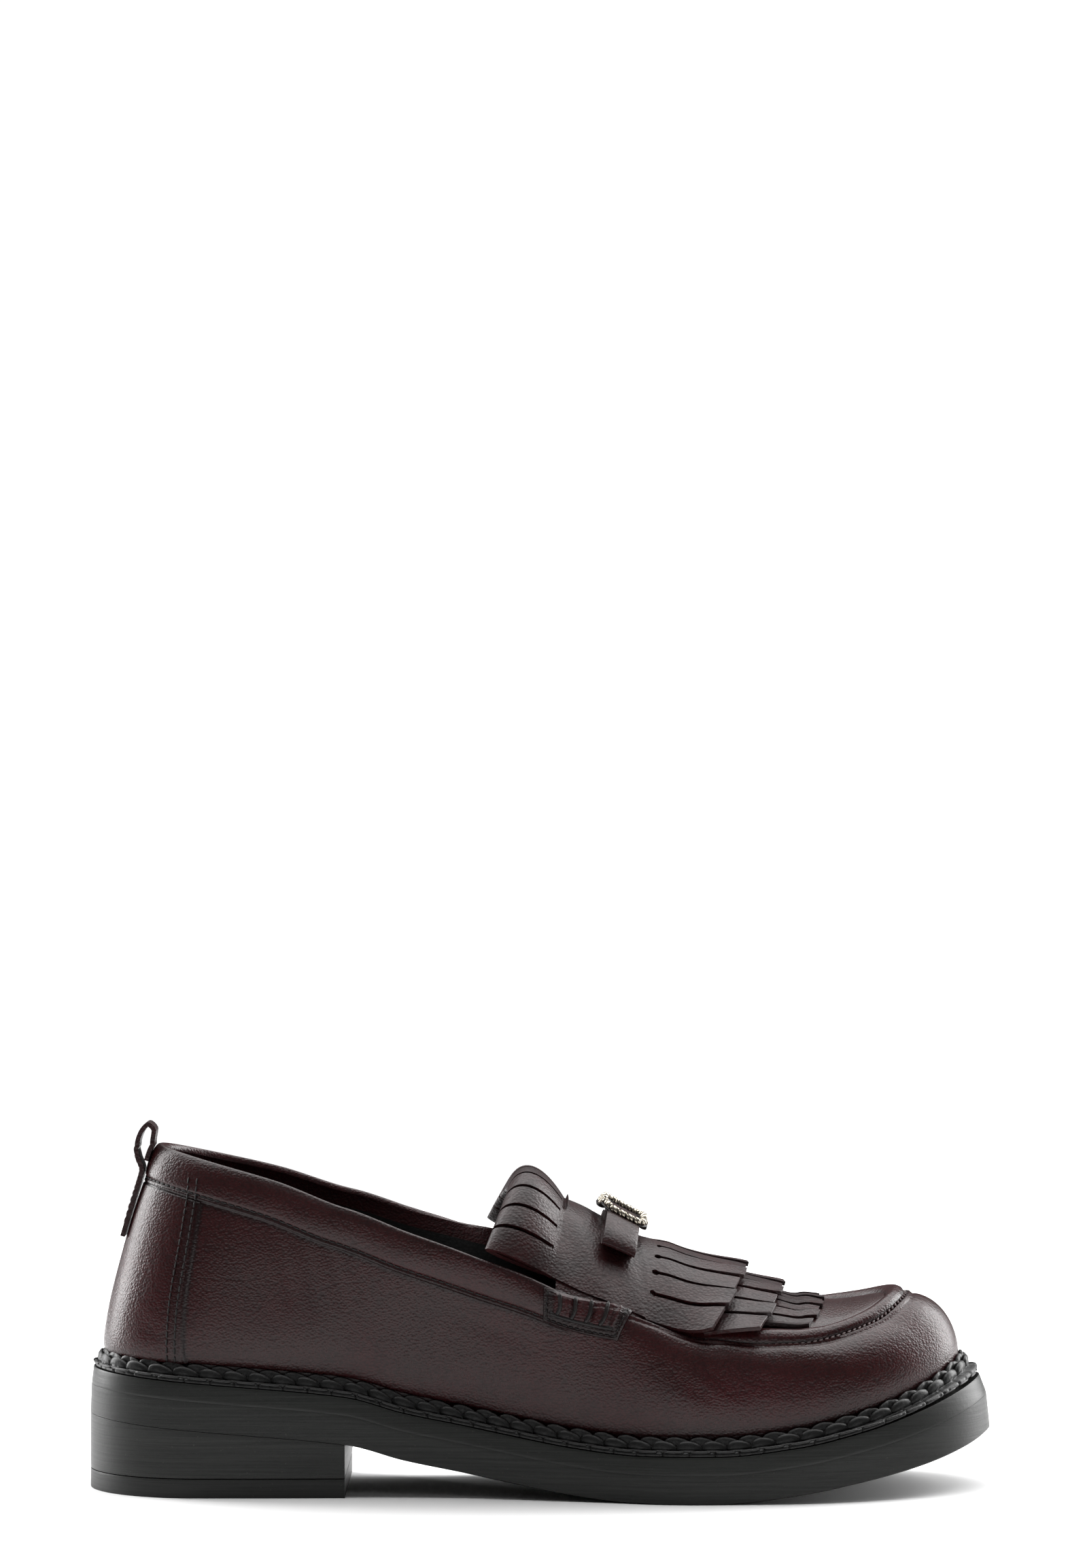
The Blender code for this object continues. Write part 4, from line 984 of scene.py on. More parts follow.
def make_lining(finish):
    """Black lining: the wall's and the instep's inner faces, from under the facing down to the insole."""
    sheet = Sheet()
    turn = np.linspace(0, 1, 121)[None]
    throat = np.argmax(turn[0] > THROAT_TURN)
    edges = []
    for side in (-1, 1):
        top = share_below(turn, side, FACING - 0.0006 + 0 * turn)
        top = np.where(turn <= THROAT_TURN, top, 1.0)
        up = top * np.linspace(0, 1, 31)[:, None]
        grid = grid_of(*wall(turn + 0 * up, side, up))
        inner = grid + grid_normals(grid) * side * (UPPER_WALL + 0.0002)
        inner[-1, throat:] = grid[-1, throat:] - [0, 0, UPPER_WALL]
        sheet.add(inner, flip=side < 0)
        edges.append(inner[-1, throat:])
    share = np.linspace(0, 1, 31)[:, None]
    span = edges[0][:, None] + (edges[1] - edges[0])[:, None] * share[None]
    span[..., 2] = arch_height(span[..., 0], span[..., 1]) - UPPER_WALL
    span[:, 0], span[:, -1] = edges
    sheet.add(span[:, ::-1])
    sheet.join()
    return make_piece("shoe_lining", sheet, finish)


def edge_layer(name, finish, stands_for, profile, turns=np.linspace(0, 1, 241), front=None):
    """Layer of the sole: an edge profile of insets and heights all the way round, closed by two caps."""
    share = np.linspace(0, 1, 9)
    levels = []
    for inset, height in profile:
        lateral = sole_line(turns, -1, inset(turns))
        medial = sole_line(turns, 1, inset(turns))
        x = lateral[0][:, None] + (medial[0] - lateral[0])[:, None] * share
        y = lateral[1][:, None] + (medial[1] - lateral[1])[:, None] * share
        if front is not None:
            x[-1] = front(share, len(levels) / (len(profile) - 1))
        levels.append(grid_of(x, y, height(x)))
    levels = np.stack(levels)
    sheet = Sheet()
    sheet.add(levels[0][:, ::-1])
    sheet.add(levels[-1])
    sheet.add(levels[:, :, 0].transpose(1, 0, 2)[::-1])
    sheet.add(levels[:, :, -1].transpose(1, 0, 2))
    sheet.add(levels[:, -1].transpose(1, 0, 2)[::-1])
    sheet.join()
    return make_piece(name, sheet, finish, stands_for, sharp=50)


def rounded(bottom, top, low_inset, high_inset, soft):
    """Edge profile between two heights: straight in the middle and rounded over soft at its foot and top."""
    profile = []
    for share in (1 - np.cos(np.pi * np.linspace(0, 1, 9))) / 2:
        round_in = soft * (1 - np.sqrt(np.clip(1 - (2 * abs(share - 0.5)) ** 8, 0, 1)))

        def inset(turns, share=share, round_in=round_in):
            return low_inset(turns) + (high_inset(turns) - low_inset(turns)) * share + round_in

        def height(x, share=share):
            return bottom(x) + (top(x) - bottom(x)) * share

        profile.append((inset, height))
    return profile


def toe_lean(turns):
    """How much further the sole's edge leans in towards the toe."""
    return TOE_LEAN * ramp(along_of(turns), 0.84, 1.0)


def make_sole(finish, rubber):
    """Outsole, midsole, heel block and top piece with rounded edges."""
    join = lambda t: EDGE_LEAN / 3 + toe_lean(t) / 3
    outsole = rounded(underside, lambda x: outsole_top(x) + GAP / 2, lambda t: 0 * t, join, 0.00004)
    breast_on = lambda t: ramp(LENGTH * along_of(t), HEEL_LENGTH, HEEL_LENGTH + 0.010)
    outsole[0] = (lambda t: EDGE_BEVEL * breast_on(t), underside)
    edge_layer("sole_edge_lower", finish, ("outsole",), outsole)
    lean = lambda t: EDGE_LEAN + toe_lean(t)
    midsole = rounded(lambda x: outsole_top(x) + GAP / 2, seat, join, lean, 0.0001)
    edge_layer("sole_edge_upper", finish, ("midsole",), midsole)
    breast_turn = float(turn_of(HEEL_LENGTH / LENGTH))
    turns = np.linspace(0, breast_turn, 81)
    foot = TOPPIECE_THICK + GAP / 2
    inset = lambda t: 0.00005 + 0 * t
    heel = rounded(lambda x: foot + 0 * x, lambda x: underside(x) - GAP / 2, inset, inset, 0.00005)
    breast = lambda across, up: HEEL_LENGTH + BREAST_RAMP * across**0.7 * up**2.5
    edge_layer("heel_block", finish, ("heel",), heel, turns=turns, front=breast)
    piece = rounded(lambda x: 0 * x, lambda x: TOPPIECE_THICK - GAP / 2 + 0 * x, inset, inset, 0.00008)
    straight = lambda across, up: HEEL_LENGTH + 0 * across
    edge_layer("heel_top_piece", rubber, ("heel_toppiece",), piece, turns=turns, front=straight)


def round_trip(step):
    """Turns and sides at equal steps round the feather line, from the heel's back along the outer side."""
    turn = np.linspace(0, 1, 2001)
    x, y, _ = feather(turn, -1)
    far = np.concatenate([[0], np.cumsum(np.hypot(np.diff(x), np.diff(y)))])
    count = int(round(far[-1] / step))
    places = np.interp(np.arange(count + 1) / count, far / far[-1], turn)
    turns = np.concatenate([places, places[-2::-1]])
    sides = np.concatenate([-np.ones(count + 1), np.ones(count)])
    return turns, sides


def petal(phase):
    """Height of a scallop over its pitch: it rises steeply out of a notch and falls away slowly."""
    phase = phase % 1
    return np.sin(np.pi * phase**0.75) ** 0.6


def make_welt(finish):
    """Storm welt: a strip with a frayed edge, and two rows of scallops turned up against the upper."""
    steps = 16
    turns, sides = round_trip(PETAL / steps)
    phase = np.arange(len(turns)) / steps
    high = seat(sole_edge(turns, sides)[0])
    width = reach(turns) - GAP
    bead = width - BEAD_WIDTH
    outer = EDGE_LEAN + 2 * GAP + toe_lean(turns)
    cut = bell(phase % 1 - 0.5, 0.04) + bell((phase * 1.7) % 1 - 0.3, 0.03) * 0.6
    swollen = petal(phase)
    front_top = WELT_THICK + BEAD_HEIGHT * (0.34 + 0.44 * swollen)
    outer = outer + 0.0004 * cut
    front = bead - BEAD_WIDTH * (0.05 + 0.18 * swollen)
    strip = WELT_THICK - 0.0004 * cut
    section = [
        (outer, GAP + 0 * outer), (outer - 0.0001, strip * 0.6), (outer + 0.0003, strip),
        (outer * 0.6 + front * 0.4, strip + 0.0002), (front - 0.0004, strip), (front, strip + 0.0003),
        (front - 0.0001, front_top * 0.55), (front + 0.0001, front_top * 0.82),
        (front + 0.0005, front_top * 0.97), (front + 0.0009, front_top), (front + 0.0013, front_top * 0.92),
        (front + 0.0014, front_top * 0.62), (front + 0.0016, front_top * 0.60),
    ]
    later = petal(phase + 0.5)
    back_top = WELT_THICK + BEAD_HEIGHT * (0.66 + 0.34 * later)
    section += [
        (front + 0.0016, back_top * 0.80), (front + 0.0018, back_top * 0.96), (front + 0.0022, back_top),
        (width - 0.0002, back_top * 0.93), (width, back_top * 0.5), (width, GAP + 0 * outer),
        (outer, GAP + 0 * outer),
    ]
    rows = []
    for inset, height in section:
        x, y = sole_line(turns, sides, inset)
        rows.append(grid_of(x, y, high + height))
    # rim marks the crests of both rows of scallops, which the welt's finish paints paler as a highlight.
    rim = np.zeros((len(section), 1))
    rim[[8, 9, 14, 15]] = 1.0
    sheet = Sheet("rim")
    sheet.add(np.stack(rows), rim=rim)
    sheet.join()
    make_piece("storm_welt", sheet, finish, ("welt",), sharp=60)


def along_line(turns, sides, inset, lift):
    """Places, directions and upward directions on the welt's strip."""
    def at(turn):
        x, y = sole_line(turn, sides, inset)
        return grid_of(x, y, seat(x) + lift)

    ahead = unit(at(turns + 0.002) - at(turns - 0.002))
    return at(turns), ahead, np.broadcast_to([0.0, 0.0, 1.0], ahead.shape)


def make_welt_thread(finish):
    """Two staggered rows of thick oval stitches on the welt's strip."""
    sheets = []
    all_turns, all_sides = round_trip(PETAL / 2)
    for row, share in enumerate((0.34, 0.72)):
        turns, sides = all_turns[row::2], all_sides[row::2]
        span = reach(turns) - BEAD_WIDTH * 1.4 - (EDGE_LEAN + toe_lean(turns))
        inset = EDGE_LEAN + toe_lean(turns) + span * share
        place, ahead, up = along_line(turns, sides, inset, WELT_THICK + 0.0002)
        sheets.append(beads(place, ahead, up, 0.0064, 0.0012, 0.0010))
    make_beads("welt_thread", sheets, finish)


def make_beads(name, rows, finish):
    """One piece from several rows of beads."""
    sheet = Sheet()
    for bead in np.concatenate(rows):
        sheet.add(bead)
    sheet.join()
    return make_piece(name, sheet, finish, sharp=80)


def wall_stitches(side, turn, up):
    """Beads laid end to end along a line on the wall, at the height of its relief."""
    length, width, above = 0.0024, 0.0006, 0.0002
    path = grid_of(*wall(turn, side, up))
    far = distances(path)
    places = np.arange(length / 2, far[-1], length)
    at_turn, at_up = np.interp(places, far, turn), np.interp(places, far, up)
    step = 1e-4
    right = grid_of(*wall(at_turn + step, side, at_up)) - grid_of(*wall(at_turn - step, side, at_up))
    higher, lower = np.minimum(at_up + step, 1), at_up - step
    rise = grid_of(*wall(at_turn, side, higher)) - grid_of(*wall(at_turn, side, lower))
    outward = unit(np.cross(right, rise)) * -side
    relief = upper_relief(at_turn, side, at_up)[0]
    point = grid_of(*wall(at_turn, side, at_up)) + outward * (relief + above)[:, None]
    return beads(point, direction(places, far, path), outward, length * 0.86, width, width * 0.8)


def make_upper_thread(finish):
    """Stitches: two rows behind the counter's edge, one row along the collar band."""
    rows = []
    for side in (-1, 1):
        up = np.linspace(0.03, 0.80, 300)
        edge = counter_turn(up)
        back_x, edge_x, front_x = (wall(turn, side, up)[0] for turn in (0 * edge, edge, 0 * edge + 1))
        for back in COUNTER_ROWS:
            turn = turn_of((edge_x - back - back_x) / (front_x - back_x))
            rows.append(wall_stitches(side, turn, up))
        turn = np.linspace(0.004, THROAT_TURN - 0.004, 500)
        rows.append(wall_stitches(side, turn, share_below(turn, side, BAND_WIDTH - BAND_ROW + 0 * turn)))
    make_beads("upper_thread", rows, finish)


def make_apron_thread(finish):
    """Chain of slanting stitches in the groove between the wall and the apron's ridge."""
    rows = []
    for side in (-1, 1):
        turn = np.linspace(THROAT_TURN + 0.07, 1, 600)
        x, y = apron_line(turn, side, 0.02)
        path = grid_of(x, y, arch_height(x, y))
        far = distances(path)
        at = at_distance(np.arange(0.0005, far[-1], 0.0021), far, path)
        ahead = unit(np.gradient(at, axis=0))
        up = np.broadcast_to([0.0, 0.0, 1.0], ahead.shape)
        slant = unit(ahead + 0.55 * unit(np.cross(ahead, up)) * side)
        rows.append(beads(at + [0, 0, 0.0001], slant, up, 0.0028, 0.0009, 0.0010))
    make_beads("apron_thread", rows, finish)


# Tongues of the fringe, from the outer to the inner side: how far each tip is bent up and how much longer
# it is
TongueRow = namedtuple("TongueRow", "lift longer")
TONGUES = [
    TongueRow(0.0000, 0.0),
    TongueRow(0.0007, 0.0006),
    TongueRow(0.0001, -0.0004),
    TongueRow(0.0008, 0.0004),
    TongueRow(0.0002, 0.0),
    TongueRow(0.0009, 0.0008),
    TongueRow(0.0002, -0.0004),
    TongueRow(0.0008, 0.0006),
    TongueRow(0.0001, 0.0),
    TongueRow(0.0006, 0.0004),
]
TONGUE_COLUMNS = 9


def tongue_columns(half):
    """Shares across the arch, the slit's half width to add at each, and which tongue each belongs to."""
    edges = np.linspace(-half, half, STRIP_COUNT + 1)
    slit = 1.4 * SLIT_WIDTH / TOP_WIDTH
    at_edge = np.abs(np.linspace(-1, 1, TONGUE_COLUMNS)) > 0.99
    parts, sides, which = [], [], []
    for i in range(STRIP_COUNT):
        left, right = i > 0, i < STRIP_COUNT - 1
        parts.append(np.linspace(edges[i] + left * slit, edges[i + 1] - right * slit, TONGUE_COLUMNS))
        sides.append(np.linspace(-int(left), int(right), TONGUE_COLUMNS) * at_edge)
        which.append(np.full(TONGUE_COLUMNS, i))
    across, shrink, which = map(np.concatenate, (parts, sides, which))
    return across, shrink, which, np.diff(which) > 0


def fringe_grid(row, over, count):
    """Grid of a slit row of leather in front of its seam; each slit starts in a small round hole."""
    hole_size = 0.0009
    across, shrink, which, is_slit = tongue_columns(row.half)
    share = np.linspace(0, 1, count)[:, None]
    start = apron_place(row.start)
    tip_lift, longer = column(TONGUES, "lift")[which], column(TONGUES, "longer")[which]
    x = start + (fringe_ends(row, across)[None] + longer - start) * share
    slit_start = start + 0.0010 + 0.0040 * (1 - (np.abs(across) / row.half) ** 2)
    hole = np.sqrt(np.clip(hole_size**2 - (x - slit_start) ** 2, 0, None))
    spread = across - shrink * np.maximum(hole - SLIT_WIDTH / 2, 0) / (TOP_WIDTH / 2)
    lift = fringe_lift(row, x, spread, over) + tip_lift * share**2.2
    middles = np.linspace(-row.half, row.half, 2 * STRIP_COUNT + 1)[1::2][which]
    lift = lift + 0.00010 * share * ((across - middles) / (row.half / STRIP_COUNT)) ** 2
    points = arch_point(x, spread) + arch_normal(x, spread) * lift[..., None]
    middle = (x[1:, 1:] + x[:-1, :-1]) / 2
    keep = ~(is_slit[None] & (middle > slit_start[1:] - hole_size))
    return points, keep


def make_fringe(row, over, finish):
    """One row of fringe, slit into tongues."""
    points, keep = fringe_grid(row, over, 40)
    sheet = Sheet()
    sheet.add(points, keep=keep)
    sheet.join().thicken(0.0, KILTIE_THICK * 0.95)
    make_piece(row.name + "_leather", sheet, finish, (row.name,), bevel=0.0002, sharp=40)


def make_kiltie(finish):
    """Flap over the instep: slit in front into the last row of fringe, curled behind into a slit roll."""
    across, _, _, is_slit = tongue_columns(1.0)
    over = (FRINGE_MIDDLE, FRINGE_FRONT)
    along = np.linspace(FLAP[0].along, FLAP[-1].along, 30)
    halves = smooth(column(FLAP, "along"), column(FLAP, "half"), along)
    rows = []
    for part, half in zip(along, halves):
        bow = ROLL_BOW * (1 - across**2) * (1 - ramp(part, along[0], along[5]))
        x = apron_place(part) + bow
        spread = across * half
        waves = 0.00025 * np.sin(9 * across + 260 * x) * np.sin(240 * x)
        lift = fringe_lift(KILTIE, x, spread, over) + waves
        rows.append(arch_point(x, spread) + arch_normal(x, spread) * lift[:, None])
    front, keep_front = fringe_grid(KILTIE._replace(start=FLAP[-1].along), over, 44)
    hinge = rows[0]
    hinge_x = apron_place(FLAP[0].along) + ROLL_BOW * (1 - across**2)
    normal = arch_normal(hinge_x, across * FLAP[0].half)
    tilt = ROLL_TILT * (0.35 + 0.65 * across**2)
    out = np.stack([-np.cos(tilt), 0 * tilt, np.sin(tilt)], axis=1)
    up = unit(normal - (normal * out).sum(axis=1, keepdims=True) * out)
    length = ROLL_LENGTH * (ROLL_MIDDLE + (1 - ROLL_MIDDLE) * across**2)
    fullness = 1 - 0.75 * across**2
    roll = []
    for turn in np.linspace(0, 2 * np.pi - 0.5, 49)[1:]:
        bulge = ROLL_CROWN * math.sin(turn / 2) * fullness if turn < np.pi else ROLL_SAG + 0 * across
        back, rise = length * (1 - math.cos(turn)) / 2, bulge * math.sin(turn)
        roll.append(hinge + out * back[:, None] + up * rise[:, None])
    grid = np.concatenate([np.stack(roll[::-1]), np.stack(rows), front[1:]])
    keep = np.ones((len(grid) - 1, len(across) - 1), dtype=bool)
    keep[8 : len(roll) - 4, is_slit] = False
    keep[len(roll) + len(rows) - 1 :] = keep_front[: len(grid) - len(roll) - len(rows)]
    sheet = Sheet()
    sheet.add(grid, keep=keep)
    sheet.join().thicken(0.0, KILTIE_THICK * 0.95)
    make_piece("kiltie_leather", sheet, finish, ("kiltie",), bevel=0.0002, sharp=40)


def tab_grid(side, columns, rows):
    """Turns and shares up the wall under the tab, moved until each point lies at its place along the shoe."""
    down = TAB_WIDTH * (0.05 + 0.95 * rows[:, None])
    place = THROAT_CORNER - TAB_BACK + columns[None] * (TAB_LENGTH - TAB_SLANT * down / TAB_WIDTH)
    aim = place
    for _ in range(4):
        turn = turn_of((aim - COLLAR_BACK) / (APRON_FRONT - COLLAR_BACK))
        up = share_below(turn, side, down)
        aim = aim + place - wall(turn, side, up)[0]
    return turn, up


def tab_surface(side, columns, rows, lift):
    """Points over the wall at a lift, with the band's own relief added as the solid has it."""
    turn, up = tab_grid(side, columns, rows)
    base = grid_of(*wall(turn, side, up))
    step = 1e-4
    right = grid_of(*wall(turn + step, side, up)) - grid_of(*wall(turn - step, side, up))
    rise = grid_of(*wall(turn, side, up)) - grid_of(*wall(turn, side, up - step))
    outward = unit(np.cross(right, rise)) * -side
    fade = (turn - THROAT_TURN) * 16 / (1 - THROAT_TURN)
    return base + outward * (BAND_STEP * np.clip(1 - fade, 0, 1) + lift)[..., None], outward


def tab_path(side, columns, rows, lift):
    """Path over the tab through pairs of a column and a row, and its upward directions."""
    grid, out = tab_surface(side, columns, rows, np.full((len(rows), len(columns)), lift))
    each = np.arange(len(rows))
    return grid[each, each], out[each, each]


def make_tab(name, side, finish, thread):
    """Laced end of the saddle: a patch with a padded inlay, lacing across it and a stitched edge."""
    columns, rows = np.linspace(0, 1, 65), np.linspace(0, 1, 33)
    inlay = ramp(columns, 0.10, 0.15)[None] * (1 - ramp(columns, 0.86, 0.91)[None])
    inlay = inlay * (1 - ramp(rows, 0.60, 0.68)[:, None]) * ramp(rows, -0.02, 0.06)[:, None]
    rib = 1 - 0.5 * bell((columns * 4.2) % 1 - 0.5, 0.12)[None]
    from_ends = np.minimum(columns, 1 - columns)[None] * TAB_LENGTH
    from_sides = np.minimum(rows, 1 - rows)[:, None] * TAB_WIDTH
    edge = np.minimum(from_ends, from_sides)
    face = 2 * GAP + TAB_THICK
    lift = face + 0.0010 * inlay * rib
    lift = lift - 0.0005 * (1 - ramp(edge, 0.0, 0.0006)) - 0.0003 * bell(edge - 0.0014, 0.0004)
    outer, _ = tab_surface(side, columns, rows, lift)
    inner, _ = tab_surface(side, columns, rows, GAP + 0 * lift)
    sheet = Sheet("seam", "patch")
    # seam darkens the dark frame round the inlay and paints shade into the grooves between the inlay's ribs;
    # the inner face under the tab is painted fully dark as shade, and the cut edges are dark.
    sheet.add(outer, flip=side > 0, seam=np.clip(1.0 - inlay * rib, 0, 1), patch=0.6)
    sheet.add(inner, flip=side < 0, seam=1.0)
    for edge_of in (np.s_[0], np.s_[-1], np.s_[:, 0], np.s_[:, -1]):
        sheet.add(np.stack([outer[edge_of], inner[edge_of]]), seam=1.0)
    sheet.join()
    made = make_piece(name + "_leather", sheet, finish, (name,), sharp=50)
    mend_normals(made)
    cords = Sheet()
    across_inlay = np.linspace(0.02, 0.66, 14)
    for lace_place in (0.18, 0.36, 0.54, 0.72):
        bowed = lace_place + 0.03 * np.sin(np.pi * np.linspace(0, 1, 14))
        cords.add(tube(*tab_path(side, bowed, across_inlay, face + 0.0011), 0.0013, 0.0011))
    below_inlay = tab_path(side, np.linspace(0.08, 0.90, 40), np.full(40, 0.67), face + 0.0004)
    cords.add(tube(*below_inlay, 0.0014, 0.0011))
    cords.join()
    make_piece(name + "_lace", cords, thread, sharp=80)
    stitches = []
    end_rows = np.linspace(0.05, 0.88, 30)
    lines = ((np.linspace(0.04, 0.96, 60), np.full(60, 0.88)), (0.955 + 0 * end_rows, end_rows))
    for line_columns, line_rows in lines + ((0.045 + 0 * end_rows, end_rows),):
        path, upward = tab_path(side, line_columns, line_rows, face - 0.0001)
        far = distances(path)
        places = np.arange(0.0006, far[-1], 0.0019)
        at, lift_up = at_distance(places, far, path), at_distance(places, far, upward)
        stitches.append(beads(at, direction(places, far, path), lift_up, 0.0015, 0.0006, 0.0006))
    make_beads(name + "_thread", stitches, thread)


def mend_normals(made):
    """Turns all faces of a closed piece outwards."""
    shape = bmesh.new()
    shape.from_mesh(made.data)
    bmesh.ops.remove_doubles(shape, verts=shape.verts, dist=1e-6)
    bmesh.ops.recalc_face_normals(shape, faces=shape.faces)
    shape.to_mesh(made.data)
    shape.free()


def make_bow(finish):
    """Strap folded flat into a bow: a ribbon goes out over the kiltie, folds down and comes back under."""
    rows = np.arange(2 * len(BOW))
    out = np.concatenate([column(BOW, "out"), column(BOW, "out")[::-1]])
    rise = np.concatenate([column(BOW, "over"), column(BOW, "under")[::-1]])
    fine = np.linspace(0, len(rows) - 1, 60)
    half = smooth(rows, out, fine)
    lift = smooth(rows, rise, fine)
    half = np.concatenate([half, -half[::-1]])
    lift = np.concatenate([lift, lift[::-1]])
    width = np.linspace(-0.5, 0.5, 25)
    crown = 1 - np.abs(2 * width) ** 6
    shift = BOW_SHIFT * np.abs(half)[None] / BOW[-1].out
    x = THROAT_CORNER + BOW_PLACE + width[:, None] * BOW_WIDTH - shift
    spread = np.broadcast_to(half[None], x.shape)
    pinch = 0.0006 * bell(np.abs(spread) - 0.16, 0.03) * bell(width[:, None], 0.3)
    height = 3 * GAP + KILTIE_THICK + BOW_RISE * lift[None] * (0.90 + 0.10 * crown[:, None]) - pinch
    grid = arch_point(x, spread) + arch_normal(x, spread) * height[..., None]
    sheet = Sheet()
    sheet.add(np.concatenate([grid, grid[:, :1]], axis=1))
    upper_half = grid.shape[1] // 2
    for line in (grid[0], grid[-1]):
        sheet.add(np.stack([line[:upper_half], line[::-1][:upper_half]]))
    sheet.join()
    mend_normals(make_piece("bow_leather", sheet, finish, ("bow",), sharp=50))


def make_ornament(silver, base):
    """Rope ring of twisted strands in beads, bent over the bow, on a flat dark ring below the rope."""
    turn = np.linspace(0, 2 * np.pi, 4001)
    long = 0.94 * RING_LONG * np.sign(np.cos(turn)) * np.abs(np.cos(turn)) ** RING_SQUARE
    wide = 0.85 * RING_WIDE * np.sign(np.sin(turn)) * np.abs(np.sin(turn)) ** RING_SQUARE
    far = np.concatenate([[0], np.cumsum(np.hypot(np.diff(long), np.diff(wide)))])
    even = np.linspace(0, far[-1], 577)[:-1]
    long, wide = np.interp(even, far, long), np.interp(even, far, wide)
    x = THROAT_CORNER + BOW_PLACE - RING_BACK + long
    low = 3 * GAP + KILTIE_THICK + RING_ROPE / 2
    high = low + 0.78 * BOW_RISE
    lift = high - 0.6 * (high - low) * ramp(np.abs(long), 0.85 * RING_LONG, 0.94 * RING_LONG)
    lateral_y, _ = top_at(x, -1)
    medial_y, _ = top_at(x, 1)
    across = wide / ((medial_y - lateral_y) / 2)
    path = arch_point(x, across) + arch_normal(x, across) * lift[:, None]
    up = arch_normal(x, across)
    ahead = unit(np.roll(path, -1, axis=0) - np.roll(path, 1, axis=0))
    side = unit(np.cross(ahead, up))
    up = np.cross(side, ahead)
    around = np.linspace(0, 2 * np.pi, 25)
    phase = even / far[-1] * 24
    bulge = np.abs(np.sin(np.pi * phase))[:, None] ** 0.5
    strand = np.abs(np.sin(1.5 * around[None] + np.pi * phase[:, None] * 2))
    size = RING_ROPE / 2 * (0.62 + 0.34 * bulge + 0.16 * strand)
    spoke = np.cos(around)[None, :, None] * side[:, None] + np.sin(around)[None, :, None] * up[:, None]
    ring = path[:, None] + size[..., None] * spoke
    groove = 1 - strand * bulge
    sheet = Sheet("groove")
    sheet.add(np.concatenate([ring, ring[:1]]), groove=np.concatenate([groove, groove[:1]]))
    sheet.join()
    mend_normals(make_piece("rope_ring", sheet, silver, ("ornament",), sharp=80))
    flat = tube(path - up * RING_ROPE * 0.42, up, RING_ROPE * 1.25, RING_ROPE * 0.45, closed=True)
    pad = Sheet()
    pad.add(np.concatenate([flat, flat[:1]]))
    pad.join()
    mend_normals(make_piece("rope_ring_base", pad, base, sharp=80))


def make_pull_loop(finish, thread):
    """Leather strip sewn to the back of the heel and folded into a narrow loop above the collar."""
    up = np.linspace(0.3, 1, 60)
    back_x, _, back_z = wall(np.zeros_like(up), -1, up)
    collar_z = back_z[-1]
    rows = np.arange(len(PULL_LOOP))
    fine = np.linspace(0, len(PULL_LOOP) - 1, 110)
    z = collar_z + LOOP_HEIGHT * smooth(rows, column(PULL_LOOP, "up"), fine)
    off = LOOP_BULGE * smooth(rows, column(PULL_LOOP, "off"), fine)
    stand = max(COUNTER_STEP, BAND_STEP) + GAP + LOOP_THICK
    x = np.interp(z, back_z, back_x) - off - stand
    y = np.linspace(-0.5, 0.5, 15)[:, None] * LOOP_WIDTH
    sheet = Sheet()
    sheet.add(grid_of(x[None], y, z[None]))
    sheet.join().thicken(-LOOP_THICK, 0.0)
    make_piece("pull_loop_leather", sheet, finish, ("pull_loop",), bevel=0.0003, sharp=40)
    sewn = np.linspace(6, 40, 13)
    at_z, at_x = (np.interp(sewn, np.arange(len(fine)), line) for line in (z, x))
    still = np.zeros(len(sewn))
    ahead = unit(np.stack([np.gradient(at_x), still, np.gradient(at_z)], axis=1))
    back = np.broadcast_to([-1.0, 0.0, 0.0], ahead.shape)
    rows = []
    for at_y in (-0.36 * LOOP_WIDTH, 0.36 * LOOP_WIDTH):
        place = np.stack([at_x, still + at_y, at_z], axis=1)
        rows.append(beads(place, ahead, back, 0.0017, 0.0006, 0.0006))
    make_beads("pull_loop_thread", rows, thread)


def leather(name, slot, plain, red, dark, roughness, grain_deep, coat):
    """Burnished leather: pebbled grain, redder patches, darkened along the seams, partly as painted shade at
    steps and in grooves.
    """
    finish = Finish(name, slot, roughness, coat=coat, coat_roughness=0.18, specular=0.28)
    where = finish.place()
    slant = finish.place((1.0, 1.0, 1.25), (0.2, 0.5, 0.3))
    cloud = finish.noise(where, 38, 3, 0.55).between(0.42, 0.66)
    patch = finish.trait("patch")
    base = finish.blend(cloud * 0.40, plain, red)
    base = finish.blend(patch * 0.85, base, red)
    mottle = finish.noise(where, 150, 4, 0.6).between(0.35, 0.75)
    base = finish.blend(mottle * 0.30, base, dark)
    # The seam attribute darkens dark seams and adds painted shade below raised edges and in grooves.
    base = finish.blend(finish.trait("seam") * 0.75, base, dark)
    cells = finish.cells(slant, 1150)
    valley = cells.between(0.35, 0.75)
    base = finish.blend(valley * 0.40, base, dark)
    finish.put("Base Color", base)
    fine = finish.noise(where, 2600, 2, 0.6)
    finish.put("Roughness", roughness - 0.05 + cells * 0.16 + cloud * 0.05)
    waves = finish.noise(slant, 420, 3, 0.6)
    finish.bump((1 - cells) * 0.7 + fine * 0.15 + waves * 0.55, grain_deep)
    return finish


def plain_leather(name, slot, plain, dark, roughness, grain, deep, coat=0.0):
    """Leather of the trim: finer grain, worn paler in places."""
    finish = Finish(name, slot, roughness, coat=coat, coat_roughness=0.3, specular=0.28)
    where = finish.place()
    cells = finish.cells(finish.place((1.0, 1.0, 1.2), (0.1, 0.4, 0.2)), grain)
    cloud = finish.noise(where, 90, 4, 0.6).between(0.35, 0.70)
    base = finish.blend(cloud * 0.75, plain, dark)
    base = finish.blend(cells.between(0.35, 0.8) * 0.45, base, dark)
    finish.put("Base Color", base)
    finish.put("Roughness", roughness - 0.06 + cells * 0.20)
    finish.bump((1 - cells) * 0.7 + finish.noise(where, 800, 3, 0.6) * 0.3, deep)
    return finish


